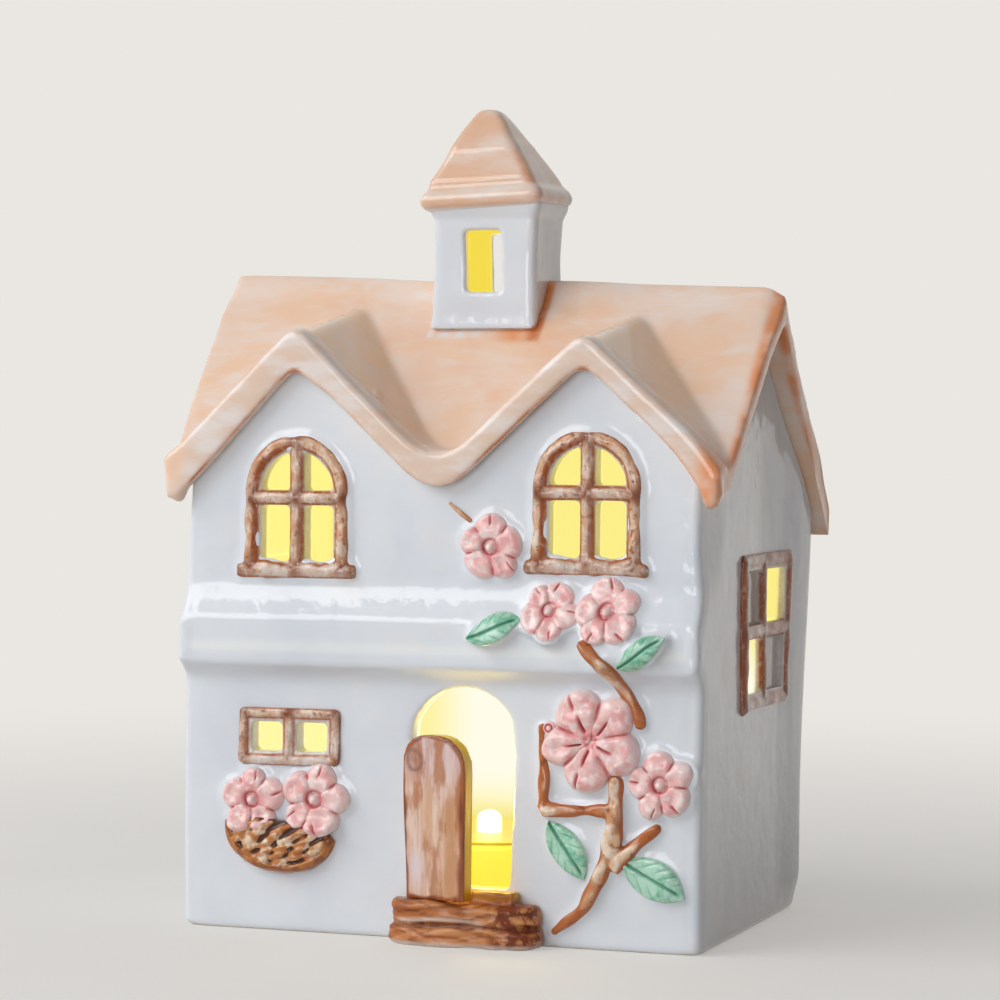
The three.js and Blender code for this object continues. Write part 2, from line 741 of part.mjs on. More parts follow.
function fieldOutline({ centre, sill, width, height, stile }, margin, setback) {
  return rectangle(
    centre - width / 2 - margin, centre + width / 2 + margin, sill + stile - margin,
    sill + stile + height + margin, setback);
}

function squareCasement(name, window, rows, wallFace, turn, blind) {
  const frame = casement({
    wallFace,
    turn,
    blind,
    flange: fieldOutline(window, window.stile, 1.2),
    tongue: fieldOutline(window, casementTongue, 0.8),
    panes: paneGrid(window, rows),
  });
  addPiece(house, name, clearOf(frame, allBlossoms), brownGlaze);
  openings.push(opening(fieldOutline(window, casementTongue + seatGap, 0.8), wallFace, turn));
}

squareCasement('lower_window', lowerWindow, 1, halfDepth, 0, []);
squareCasement('right_side_window', sideWindow, 2, bodyHalf, Math.PI / 2, [1, 2]);
const leftSideWindow = { ...sideWindow, centre: -sideWindow.centre };
squareCasement('left_side_window', leftSideWindow, 2, bodyHalf, -Math.PI / 2, [0, 3]);

// Doorway, leaf and step

const leafBottom = stepHeight + seatGap;
const leafTop = leafBottom + doorLeaf.height;
const leafHalf = doorLeaf.width / 2;
const leafSpring = leafTop - doorLeaf.arch;

// Above the leaf the arch runs on to the left; below, the wall stands behind the hinge side
const archEnd = doorArch.centre
  - doorArch.halfSpan * Math.sqrt(1 - ((leafTop - doorArch.spring) / doorArch.rise) ** 2);
const doorShape = outline([
  [doorway.left, doorway.sill], [doorway.sillRight, doorway.sill], [doorway.right, doorArch.spring],
  ...arc(doorArch.centre, doorArch.spring, doorArch.halfSpan, doorArch.rise, 0, 180, 16)
    .filter(([x, z]) => z > leafTop && x < doorway.right),
  [archEnd, leafTop], [doorway.left, leafTop],
]);
openings.push(opening(doorShape, halfDepth));

const leafShape = outline([
  [0, leafBottom], [doorLeaf.width, leafBottom], [doorLeaf.width, leafSpring],
  ...arc(leafHalf, leafSpring, leafHalf, doorLeaf.arch, 0, 180, 12),
]);
const hangLeaf = (geometry) => geometry
  .rotateZ(-THREE.MathUtils.degToRad(doorLeaf.ajar))
  .translate(doorLeaf.hinge, -halfDepth - seatGap, 0);
addPiece(house, 'door_leaf', hangLeaf(extrudeY(leafShape, -doorLeaf.thickness, 0)), doorGlaze);

// Plan of the step at one height: a blunt half round against the wall
function stepRing(z, shrink) {
  const sides = 22;
  return Array.from({ length: sides + 1 }, (_, i) => {
    const angle = Math.PI * i / sides;
    const across = Math.sign(Math.cos(angle)) * Math.abs(Math.cos(angle)) ** 0.7;
    const out = Math.sin(angle) ** 0.45;
    const reach = stepProjection - seatGap - shrink;
    return new THREE.Vector3(
      stepCentre - (stepHalfWidth - shrink) * across, -halfDepth - seatGap - reach * out, z);
  });
}
const stepLevels = [[0, 0.5], [0.1, 0], [0.42, 0.1], [0.5, 0.8], [0.58, 0.2], [0.9, 0.5], [1, 1.2]];
const stepSlab = solidOf(loft(stepLevels.map(([share, shrink]) => stepRing(share * stepHeight, shrink))));
const thresholdBlock = solidOf(extrudeZ(
  rectangle(threshold.left, threshold.right, -halfDepth - threshold.projection, -halfDepth - seatGap, 0),
  stepHeight / 2, threshold.height));
const leafPlan = rectangle(-seatGap, doorLeaf.width + seatGap, -doorLeaf.thickness - seatGap, 2 * seatGap);
const leafRoom = solidOf(hangLeaf(extrudeZ(leafPlan, stepHeight, threshold.height + 1)));
addPiece(house, 'doorstep', stepSlab.add(thresholdBlock).subtract(leafRoom), stepGlaze);

let walls = houseBlock(0).subtract(houseCavity());
for (const hole of openings) walls = walls.subtract(hole);
const wallTop = underRoof(vergeReach, eaveReach, mainDrop + 2 * seatGap, dormerDrop + 2 * seatGap);
addPiece(house, 'house_walls', walls.intersect(wallTop), whiteGlaze);

// Round light, drawn about its own axis and moved to its place under the house

light.position.set(...lightCentre, 0);
const at = (geometry, radius, degrees) => {
  const angle = THREE.MathUtils.degToRad(degrees);
  return geometry.translate(radius * Math.cos(angle), radius * Math.sin(angle), 0);
};
const plateTop = plateLift + plateThickness;
const ceiling = lightHeight - lightWall;
const inside = lightRadius - lightWall;
const lampHole = ledRadius + runningGap;

const shell = solidOf(revolve([
  [lightRadius - 0.4, 0], [lightRadius, 0.4], [lightRadius, lightHeight - lightBevel],
  [lightRadius - lightBevel, lightHeight], [lampHole, lightHeight], [lampHole, ceiling],
  [inside, ceiling], [inside, 0], [lightRadius - 0.4, 0],
], 40));
const pegAt = (radius, from, to, angle) => solidOf(at(cylinder(radius, from, to, 12), bossCircle, angle));
const housing = bossAngles.reduce((solid, angle) => solid
  .add(pegAt(bossRadius, plateTop, ceiling + 0.5, angle))
  .subtract(pegAt(screwRadius + runningGap, plateTop - 1, plateTop + screwLength, angle)), shell);
addPiece(light, 'light_housing', housing, milkyPlastic);

const plateHole = lidRadius + runningGap;
const lugRadius = lidRadius + lugReach;
const notch = box(2 * (lugRadius + runningGap), lugWidth + 2 * runningGap, 0, plateTop + 1)
  .rotateZ(THREE.MathUtils.degToRad(lidTurn));
const knobSlot = box(
  switchKnob.width + switchTravel + 2 * runningGap, switchKnob.depth + 2 * runningGap, 0, plateTop + 1)
  .translate(0, switchOffset, 0);
let plate = solidOf(cylinder(inside - runningGap, plateLift, plateTop, 40))
  .subtract(solidOf(cylinder(plateHole, 0, plateTop + 1, 36)))
  .subtract(solidOf(notch))
  .subtract(solidOf(knobSlot));
for (const angle of bossAngles) {
  plate = plate.subtract(pegAt(screwRadius + runningGap, 0, plateTop + 1, angle));
}
for (const angle of postAngles) {
  plate = plate.add(solidOf(at(cylinder(postRadius, plateLift + 0.4, boardHeight, 10), postCircle, angle)));
}
addPiece(light, 'base_plate', plate, whitePlastic);

bossAngles.forEach((angle, i) => {
  const head = plateLift - screwHeadHeight;
  const screw = revolve([
    [0, head], [screwHeadRadius - 0.3, head], [screwHeadRadius, head + 0.3], [screwHeadRadius, plateLift],
    [screwRadius, plateLift], [screwRadius, plateLift + screwLength - 1], [0, plateLift + screwLength],
  ], 12);
  addPiece(light, `housing_screw_${i + 1}`, at(screw, bossCircle, angle), steel);
});

const boardTop = boardHeight + boardThickness;
let board = solidOf(cylinder(inside - 0.8, boardHeight, boardTop, 40));
for (const angle of bossAngles) board = board.subtract(pegAt(bossRadius + runningGap, 0, lightHeight, angle));
for (const side of [-1, 1]) {
  const hole = box(leadWidth + 2 * runningGap, leadWidth + 2 * runningGap, 0, lightHeight);
  board = board.subtract(solidOf(hole.translate(side * leadSpacing / 2, 0, 0)));
}
addPiece(light, 'circuit_board', board, boardLaminate);
addPiece(light, 'resistor', box(resistor.length, resistor.width, boardTop, boardTop + resistor.height)
  .translate(resistor.x, resistor.y, 0), blackPlastic);

const flangeBottom = ceiling - ledFlangeHeight;
const domeCentre = lightHeight + ledReach - ledRadius;
addPiece(light, 'led_lamp', revolve([
  [0, flangeBottom], [ledFlangeRadius, flangeBottom], [ledFlangeRadius, ceiling], [ledRadius, ceiling],
  [ledRadius, domeCentre], ...arc(0, domeCentre, ledRadius, ledRadius, 0, 80, 4), [0, domeCentre + ledRadius],
], 20), lampEpoxy);
[-1, 1].forEach((side, i) => {
  const lead = box(leadWidth, leadWidth, boardHeight - 0.6, flangeBottom);
  addPiece(light, `led_lead_${i + 1}`, lead.translate(side * leadSpacing / 2, 0, 0), steel);
});

// Turn-lock lid: a coin slot below, a cup for the cell above, and two lugs that ride on the plate
const lidTop = plateLift + lidThickness;
const cupOuter = cellRadius + runningGap + lidCupWall;
let lid = solidOf(cylinder(lidRadius, plateLift, lidTop, 36));
lid = lid.add(solidOf(revolve([
  [cellRadius + runningGap, lidTop - 0.5], [cupOuter, lidTop - 0.5], [cupOuter, plateLift + lidCupHeight],
  [cellRadius + runningGap, plateLift + lidCupHeight], [cellRadius + runningGap, lidTop - 0.5],
], 32)));
for (const side of [-1, 1]) {
  const lugDepth = lugRadius - cellRadius - runningGap - lidCupWall / 2;
  const lug = box(lugDepth, lugWidth, plateTop + runningGap, plateTop + runningGap + lugHeight);
  lid = lid.add(solidOf(lug.translate(side * (lugRadius - lugDepth / 2), 0, 0)));
}
lid = lid.subtract(solidOf(box(coinSlot.length, coinSlot.width, 0, plateLift + coinSlot.depth)));
addPiece(light, 'battery_lid', lid, whitePlastic);

const cellTop = lidTop + cellHeight;
addPiece(light, 'coin_cell', revolve([
  [0, lidTop], [cellRadius - 0.3, lidTop], [cellRadius, lidTop + 0.3], [cellRadius, cellTop - 0.5],
  [cellRadius - 0.8, cellTop], [0, cellTop],
], 32), steel);

// Leaf contacts under the board: one presses on the top of the cell, one stands against its edge
function strip(points) {
  const lower = points.map(([x, z]) => [x, z - contactThickness]).reverse();
  return outline([...points, ...lower].reverse());
}
const touch = cellTop + seatGap + contactThickness;
const negative = strip([
  [contactRun.start, boardHeight], [contactRun.bend, boardHeight],
  [contactRun.touch, touch], [contactRun.end, touch + contactLift],
]);
addPiece(light, 'negative_contact', extrudeY(negative, -contactWidth / 2, contactWidth / 2), steel);
const legInner = cellRadius + runningGap;
const legBottom = plateLift + lidCupHeight + runningGap;
const legOuter = legInner + contactThickness;
const footReach = legInner + contactFoot;
const positive = outline([
  [legInner, legBottom], [legOuter, legBottom], [legOuter, boardHeight - contactThickness],
  [footReach, boardHeight - contactThickness], [footReach, boardHeight], [legInner, boardHeight],
]);
addPiece(light, 'positive_contact', extrudeY(positive, -contactWidth / 2, contactWidth / 2), steel);

// Slide switch, drawn at its on position, which is the low end of its travel
const switchBottom = boardHeight - switchBody.height;
const shoeBottom = switchBottom + 0.9;
const cavityWidth = switchShoe.width + switchTravel + 2 * runningGap;
const switchCase = solidOf(box(switchBody.width, switchBody.depth, switchBottom, boardHeight))
  .subtract(solidOf(box(cavityWidth, switchShoe.depth + 2 * runningGap, shoeBottom - runningGap,
    shoeBottom + switchShoe.height + runningGap)))
  .subtract(solidOf(box(switchStem.width + switchTravel + 2 * runningGap, switchStem.depth + 2 * runningGap,
    switchBottom - 1, shoeBottom)));
addPiece(light, 'switch_body', switchCase.translate([0, switchOffset, 0]), blackPlastic);

const knobTop = switchKnob.recess + switchKnob.height;
const slider = solidOf(box(switchShoe.width, switchShoe.depth, shoeBottom, shoeBottom + switchShoe.height))
  .add(solidOf(box(switchStem.width, switchStem.depth, knobTop - 0.5, shoeBottom + 0.5)))
  .add(solidOf(box(switchKnob.width, switchKnob.depth, switchKnob.recess, knobTop)));
addPiece(light, 'switch_slider', slider.translate([-switchTravel / 2, switchOffset, 0]), blackPlastic);

// The origin is the middle of the model's footprint, on the surface it stands on
const bounds = new THREE.Box3().setFromObject(model);
model.position.x = -(bounds.min.x + bounds.max.x) / 2;
model.position.y = -(bounds.min.y + bounds.max.y) / 2;

export default model;
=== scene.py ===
# %% [markdown]
# # Ceramic house night light
# A glazed slip-cast cottage stands over a small round LED light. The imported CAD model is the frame:
# each visible piece here stands in the place of one CAD node and rides on that node's body. Clay is
# soft before it is fired and glaze runs into every corner, so the ceramic pieces are poured as one
# skin, softened, and painted by how far each point lies from an edge, a fold or a brush line.
#
# The house could also be modelled by hand from boxes and bevels. Starting from the CAD solids was
# chosen instead, because every opening, wall and joint then stays where the motion model has it.

import json

import bpy
import numpy as np
from mathutils import Matrix, Vector

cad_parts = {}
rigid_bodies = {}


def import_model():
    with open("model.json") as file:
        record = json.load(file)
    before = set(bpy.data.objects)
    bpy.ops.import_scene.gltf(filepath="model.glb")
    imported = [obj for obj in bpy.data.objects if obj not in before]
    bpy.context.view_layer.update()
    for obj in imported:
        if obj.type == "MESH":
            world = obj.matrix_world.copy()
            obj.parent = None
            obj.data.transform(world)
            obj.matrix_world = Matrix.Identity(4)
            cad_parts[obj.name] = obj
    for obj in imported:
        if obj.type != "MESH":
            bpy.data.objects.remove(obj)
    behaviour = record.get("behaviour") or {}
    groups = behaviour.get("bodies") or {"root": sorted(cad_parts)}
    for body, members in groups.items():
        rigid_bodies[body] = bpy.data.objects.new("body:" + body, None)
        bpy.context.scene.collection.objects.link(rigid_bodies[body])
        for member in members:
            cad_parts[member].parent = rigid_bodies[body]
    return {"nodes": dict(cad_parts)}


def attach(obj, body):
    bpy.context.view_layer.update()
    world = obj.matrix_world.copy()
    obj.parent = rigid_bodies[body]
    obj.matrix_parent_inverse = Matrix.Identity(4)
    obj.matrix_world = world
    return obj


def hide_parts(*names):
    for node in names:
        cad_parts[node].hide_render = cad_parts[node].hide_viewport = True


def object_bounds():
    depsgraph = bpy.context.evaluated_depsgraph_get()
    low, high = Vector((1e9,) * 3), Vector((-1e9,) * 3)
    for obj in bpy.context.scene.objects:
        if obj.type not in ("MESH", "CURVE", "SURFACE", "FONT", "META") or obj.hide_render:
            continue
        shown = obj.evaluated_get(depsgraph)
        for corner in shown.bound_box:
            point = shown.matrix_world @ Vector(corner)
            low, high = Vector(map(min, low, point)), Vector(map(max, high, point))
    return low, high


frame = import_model()
cad_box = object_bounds()
nodes = frame["nodes"]
MM = 0.001
HOUSE_Y = 2.277  # how far the house's own middle stands behind the frame's, in mm
BOX = [np.array(corner) / MM for corner in cad_box]
print("CAD nodes:", len(nodes), "box in mm:", BOX[0].round(1), BOX[1].round(1))

# %% [markdown]
# ## Camera
# The camera stands to the right of the front and looks a little down. It could stand near with a
# short lens, but the uprights of the house stay nearly parallel in the picture, and that takes a
# long lens from far away.

# %% Camera
scene = bpy.context.scene
scene.view_settings.view_transform = "Standard"

camera_data = bpy.data.cameras.new("camera")
camera_data.sensor_width = 36
camera_data.lens = 129.6
TO_THE_RIGHT, LOOK_DOWN, TILT = 19, 1.94, 0.5  # degrees
camera = bpy.data.objects.new("camera", camera_data)
scene.collection.objects.link(camera)
camera.location = Vector((232.3, -675.7 + HOUSE_Y, 107)) * MM
aside = Matrix.Rotation(np.radians(TO_THE_RIGHT), 3, "Z")
down = Matrix.Rotation(np.radians(90 - LOOK_DOWN), 3, "X")
roll_about_view = Matrix.Rotation(np.radians(TILT), 3, "Z")
camera.rotation_euler = (aside @ down @ roll_about_view).to_euler()
scene.camera = camera
print("camera at", [round(v, 4) for v in camera.location])

# %% [markdown]
# ## Colours
# Colours are written as they look on a screen, in sRGB hex. Light adds up in linear values, so one
# function turns every colour to linear.

# %% Colours


def linear(hex_colour):
    """A colour as it is written on a screen, such as "#D8DBE0", as linear red, green and blue."""
    values = [int(hex_colour[i:i + 2], 16) / 255 for i in (1, 3, 5)]
    return [v / 12.92 if v <= 0.04045 else ((v + 0.055) / 1.055) ** 2.4 for v in values]


def rgba(hex_colour):
    return (*linear(hex_colour), 1.0)


print("middle grey in linear values:", [round(v, 3) for v in linear("#808080")])

# %% [markdown]
# ## The room around it
# A glossy glaze shows what stands around it, and shade takes its tone. A picture of a room could
# be wrapped around the scene; a smooth change of tone gives the same soft shade and is exact. It
# is cool and bright to the left and above, and brown and dim to the right. Rays that reach the
# camera straight, by gloss or through glass see a flat pale backdrop instead.

# %% World


def add_node(tree, kind, inputs=None, **settings):
    """A shader node with its settings, and with each named input linked or set."""
    made = tree.nodes.new(kind)
    for key, value in settings.items():
        setattr(made, key, value)
    for socket, value in (inputs or {}).items():
        if isinstance(value, bpy.types.NodeSocket):
            tree.links.new(value, made.inputs[socket])
        else:
            made.inputs[socket].default_value = value
    return made


BACKDROP = "#EAE7E2"

world = bpy.data.worlds.new("pale_room")
world.use_nodes = True
scene.world = world
sky = world.node_tree
sky.nodes.clear()
rays = add_node(sky, "ShaderNodeLightPath")
seen = add_node(sky, "ShaderNodeMath", {
    0: rays.outputs["Is Camera Ray"], 1: rays.outputs["Is Glossy Ray"]}, operation="MAXIMUM")
seen = add_node(sky, "ShaderNodeMath", {
    0: seen.outputs[0], 1: rays.outputs["Is Transmission Ray"]}, operation="MAXIMUM")
place = add_node(sky, "ShaderNodeTexCoord")
across = add_node(sky, "ShaderNodeSeparateXYZ", {0: place.outputs["Generated"]})
lifted = add_node(sky, "ShaderNodeMath", {
    0: across.outputs[2], 1: -0.7, 2: across.outputs[0]}, operation="MULTIPLY_ADD")
turned = add_node(sky, "ShaderNodeMapRange", {
    "Value": lifted.outputs[0], "From Min": -0.55, "From Max": 0.55})
room_tone = add_node(sky, "ShaderNodeMix", {
    0: turned.outputs[0], 6: rgba("#DCE3EC"), 7: rgba("#6E4824")}, data_type="RGBA")
backdrop = add_node(sky, "ShaderNodeBackground", {"Color": rgba(BACKDROP), "Strength": 1.0})
room = add_node(sky, "ShaderNodeBackground", {"Color": room_tone.outputs[2], "Strength": 0.42})
either = add_node(sky, "ShaderNodeMixShader", {
    0: seen.outputs[0], 1: room.outputs[0], 2: backdrop.outputs[0]})
add_node(sky, "ShaderNodeOutputWorld", {"Surface": either.outputs[0]})
print("world nodes:", len(sky.nodes))

# %% [markdown]
# ## Lamps
# Daylight falls in from a window at the left. One large lamp would do for the shade, but its gleam
# on the glaze would be one clean slab, so the window has four tall panes. A weak lamp in front
# lifts the house front, and a small one behind the doorway tints the step, as the LED does.

# %% Lamps


def area_lamp(name, place, target, size, power, colour):
    data = bpy.data.lights.new(name, "AREA")
    data.shape = "RECTANGLE"
    data.size, data.size_y = size
    data.energy = power
    data.color = linear(colour)
    data.specular_factor = 0.5
    lamp = bpy.data.objects.new(name, data)
    scene.collection.objects.link(lamp)
    lamp.location = place
    lamp.rotation_euler = (Vector(target) - Vector(place)).to_track_quat("-Z", "Y").to_euler()
    return lamp


for number, shift in enumerate((-0.42, 0.0, 0.42, 0.84)):
    area_lamp(f"window_pane_{number + 1}", (-1.15 + 0.5 * shift, -0.85 - 0.85 * shift, 1.05),
              (0, 0, 0.07), (0.34, 1.0), 4.85, "#FFFFFF")
area_lamp("front_fill", (0.0, -1.6, 0.4), (0, 0, 0.06), (0.5, 0.6), 5.0, "#F4F8FF")

glow_data = bpy.data.lights.new("lamp_glow", "POINT")
glow_data.energy = 0.02
glow_data.shadow_soft_size = 0.004
glow_data.color = linear("#FFDE78")
glow = bpy.data.objects.new("lamp_glow", glow_data)
scene.collection.objects.link(glow)
glow.location = Vector((5, -25 + HOUSE_Y, 25)) * MM
print("lamps:", len(bpy.data.lights))

# %% [markdown]
# ## Mesh tools
# Shapes are written in millimetres, in the house's own coordinates, and moved to the frame once.
# Slip fills a mould in one body, without seams. Joining by booleans would keep every edge sharp, so
# `pour` joins closed parts by a fine grid of cells instead and then softens the skin.

# %% Mesh tools


def make_object(name, points, faces):
    """A mesh object from points in mm."""
    mesh = bpy.data.meshes.new(name)
    mesh.from_pydata((np.asarray(points, float) * MM).tolist(), [], [list(face) for face in faces])
    made = bpy.data.objects.new(name, mesh)
    scene.collection.objects.link(made)
    return made


def points_of(piece):
    flat = np.empty(len(piece.data.vertices) * 3)
    piece.data.vertices.foreach_get("co", flat)
    return flat.reshape(-1, 3) / MM


def normals_of(piece):
    flat = np.empty(len(piece.data.vertices) * 3)
    piece.data.vertex_normals.foreach_get("vector", flat)
    return flat.reshape(-1, 3)


def set_points(piece, points):
    piece.data.vertices.foreach_set("co", (points * MM).ravel())
    piece.data.update()


def part_of(node):
    """A CAD node's own points and faces, in house coordinates."""
    faces = [list(face.vertices) for face in nodes[node].data.polygons]
    return points_of(nodes[node]) - [0, HOUSE_Y, 0], faces


def join_parts(parts):
    points, faces, start = [], [], 0
    for part_points, part_faces in parts:
        points.append(np.asarray(part_points, float))
        faces += [[i + start for i in face] for face in part_faces]
        start += len(part_points)
    return np.concatenate(points), faces


def pour(name, parts, voxel, soften):
    """Joins closed parts into one skin of small faces and softens its edges."""
    piece = make_object(name, *join_parts(parts))
    skin = piece.modifiers.new("skin", "REMESH")
    skin.mode = "VOXEL"
    skin.voxel_size = voxel * MM
    if soften:
        smooth = piece.modifiers.new("soften", "SMOOTH")
        smooth.factor = 0.5
        smooth.iterations = soften
    bpy.context.view_layer.update()
    solid = bpy.data.meshes.new_from_object(
        piece.evaluated_get(bpy.context.evaluated_depsgraph_get()))
    piece.modifiers.clear()
    rough, piece.data = piece.data, solid
    bpy.data.meshes.remove(rough)
    solid.name = name
    return piece


print("the roof's CAD node has", len(part_of("main_roof")[1]), "faces before it is poured")

# %% [markdown]
# ## Painted numbers
# A potter sees where glaze pools and where a brush can't reach. A picture would need unwrapping;
# here each point keeps a few numbers instead, such as its depth in a hollow, and the materials
# read them.

# %% Painted numbers


def paint(piece, name, values):
    """Keeps one number for each point, for a material to read."""
    layer = piece.data.attributes.new(name, "FLOAT", "POINT")
    layer.data.foreach_set("value", np.asarray(values, np.float32))


def smoothstep(low, high, value):
    share = np.clip((value - low) / (high - low), 0, 1)
    return share * share * (3 - 2 * share)


def hollows(piece, reach=6):
    """How far each point lies in a hollow (above 0) or on a ridge (below 0), in mm."""
    edges = np.empty(len(piece.data.edges) * 2, int)
    piece.data.edges.foreach_get("vertices", edges)
    a, b = edges.reshape(-1, 2).T
    points = points_of(piece)
    count = np.bincount(a, minlength=len(points)) + np.bincount(b, minlength=len(points))

    def spread(values):
        sums = np.bincount(a, values[b], len(points)) + np.bincount(b, values[a], len(points))
        return sums / count

    mean = np.stack([spread(points[:, k]) for k in range(3)], 1)
    value = ((mean - points) * normals_of(piece)).sum(1)
    for _ in range(reach):
        value = 0.5 * value + 0.5 * spread(value)
    return value


print("halfway along a smooth step:", smoothstep(0, 2, 1))

# %% [markdown]
# ## Hand-made unevenness
# The real casting isn't true: the ridge sags to the right, the walls wave and lean a little, and
# the right eave droops. Each piece could be bent by itself, but gaps would open between them, so
# one warp moves every piece of the house.

# %% Unevenness
WALL_FRONT = -35.5  # y of the front wall, mm
JETTY_FOOT, JETTY_TOP, JETTY_OUT = 47.5, 68, 5.6  # heights of the jetty and how far it stands out
EAVE_Z, RIDGE_TOP_Z = 84, 124  # heights of the front eave and the ridge, mm


def swell(z):
    """How far the jetty stands in front of the wall below it."""
    z = np.asarray(z, float)
    rise = np.minimum((z - JETTY_FOOT) / 7, (JETTY_TOP - z) / 13.5)
    return JETTY_OUT * (0.5 - 0.5 * np.cos(np.pi * np.clip(rise, 0, 1)))


def on_wall(x, z, height):
    """Points that stand out from the front wall, with its jetty, by `height`."""
    return np.stack([x + 0 * height, WALL_FRONT - swell(z) - height, z + 0 * height], -1)


def hand_made(points):
    """Where the soft casting has the points of the true house."""
    x, y, z = points.T
    moved = points.copy()
    high = smoothstep(EAVE_Z, RIDGE_TOP_Z, z)
    settled = smoothstep(3, 22, z) * (1 - smoothstep(126, 158, z))
    moved[:, 2] += (0.75 + 0.0087 * x) * settled
    moved[:, 2] += (0.5 - 1.75 * np.clip(x / 57, -1, 1) * smoothstep(8, 30, np.abs(x))) * high \
        * (1 - smoothstep(130, 150, z))
    ridge_end = smoothstep(51.5, 57.6, np.abs(x)) ** 2 * smoothstep(112, 122, z)
    moved[:, 2] -= np.where(x < 0, 0.2, 1.7) * ridge_end
    left_verge = smoothstep(52, 56, -x) * smoothstep(86, 96, z) * smoothstep(RIDGE_TOP_Z, 114, z)
    moved[:, 0] -= 1.4 * left_verge
    right_tip = smoothstep(34, 55, x) * smoothstep(-20, -38, y)
    right_tip = right_tip * smoothstep(98, 82, z) * smoothstep(60, 78, z)
    moved[:, 2] -= 2.9 * right_tip
    moved[:, 0] -= 1.3 * right_tip
    moved[:, 0] -= 0.8 * smoothstep(44, 51, -x) * smoothstep(90, 70, z)
    rear = smoothstep(46, 52, x) * smoothstep(57.4, 53.5, x) * smoothstep(126, 116, z)
    moved[:, 0] += 2.0 * rear * smoothstep(2, 28, y) * smoothstep(20, 84, z)
    moved[:, 0] += 1.3 * rear * smoothstep(16, 34, y) * smoothstep(0.5, 8, z)
    right_verge = smoothstep(52, 56, x) * smoothstep(5, 28, y)
    moved[:, 0] += 0.6 * right_verge * smoothstep(84, 92, z) * smoothstep(118, 106, z)
    moved[:, 0] += 0.30 * np.sin(z / 19 + 0.6) * np.sin(y / 21 + 1.1)
    moved[:, 1] += 0.30 * np.sin(x / 17 + 2.0) * np.sin(z / 23 + 0.4) * smoothstep(0, 20, z)
    return moved


def settle(piece, body, node, materials):
    """Moves a finished piece from house coordinates to the frame and gives it its body and looks."""
    points = hand_made(points_of(piece)) + [0, HOUSE_Y, 0]
    set_points(piece, np.clip(points, BOX[0] + 0.01, BOX[1] - 0.01))
    for material in materials:
        piece.data.materials.append(material)
    piece.data.polygons.foreach_set("use_smooth", [True] * len(piece.data.polygons))
    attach(piece, body)
    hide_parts(node)
    print(piece.name, "faces", len(piece.data.polygons))


ridge_ends = hand_made(np.array([[-50.0, 0.0, 122.0], [50.0, 0.0, 122.0]]))
print("the ridge sinks to the right by", round(ridge_ends[0, 2] - ridge_ends[1, 2], 2), "mm")


# %% [markdown]
# ## Material tools
# Each painted ceramic is underglaze colour, brushed on by hand, under clear glass. It could be one
# picture wrapped round the house; noise at the real brush scale, with the painted numbers on each
# point, holds up at any distance. The clear coat has its own faint ripple, in mm, so highlights
# look wet and a little broken. The glass of a real glaze has an IOR near 1.5; it is 1.42 here, or
# the gleam would drown the brush colours.

# %% Material tools


def new_material(name):
    material = bpy.data.materials.new(name)
    material.use_nodes = True
    material.node_tree.nodes.clear()
    return material, material.node_tree


def noise(tree, size, detail=3, stretch=(1, 1, 1), roughness=0.5, distortion=0.0):
    """Noise whose blotches are about `size` mm across, drawn out along the axes in `stretch`."""
    place = add_node(tree, "ShaderNodeTexCoord")
    scaled = add_node(tree, "ShaderNodeMapping", {
        "Vector": place.outputs["Object"], "Scale": [1 / (size * MM * s) for s in stretch]})
    made = add_node(tree, "ShaderNodeTexNoise", {
        "Vector": scaled.outputs[0], "Scale": 1.0, "Detail": detail, "Roughness": roughness,
        "Distortion": distortion})
    return made.outputs["Fac"]


def mix(tree, share, first, second, blend="MIX"):
    made = add_node(tree, "ShaderNodeMix", {0: share, 6: first, 7: second},
                    data_type="RGBA", blend_type=blend)
    return made.outputs[2]


def band(tree, value, low, high, bottom=0.0, top=1.0):
    """Maps value from low..high to bottom..top, smoothly and held at both ends."""
    made = add_node(tree, "ShaderNodeMapRange", {
        "Value": value, "From Min": low, "From Max": high, "To Min": bottom, "To Max": top},
        interpolation_type="SMOOTHSTEP")
    return made.outputs[0]


def maths(tree, operation, first, second=0.0):
    return add_node(tree, "ShaderNodeMath", {0: first, 1: second}, operation=operation).outputs[0]


def painted(tree, name):
    return add_node(tree, "ShaderNodeAttribute", attribute_name=name).outputs["Fac"]


def brushed(tree, tone, name, colour, size=6, full=1.0):
    """Lays a colour where points are painted with `name`, thinner where the brush ran dry."""
    dry = band(tree, noise(tree, size, 3), 0.34, 0.6, 0.35 * full, full)
    return mix(tree, maths(tree, "MULTIPLY", painted(tree, name), dry), tone, rgba(colour))


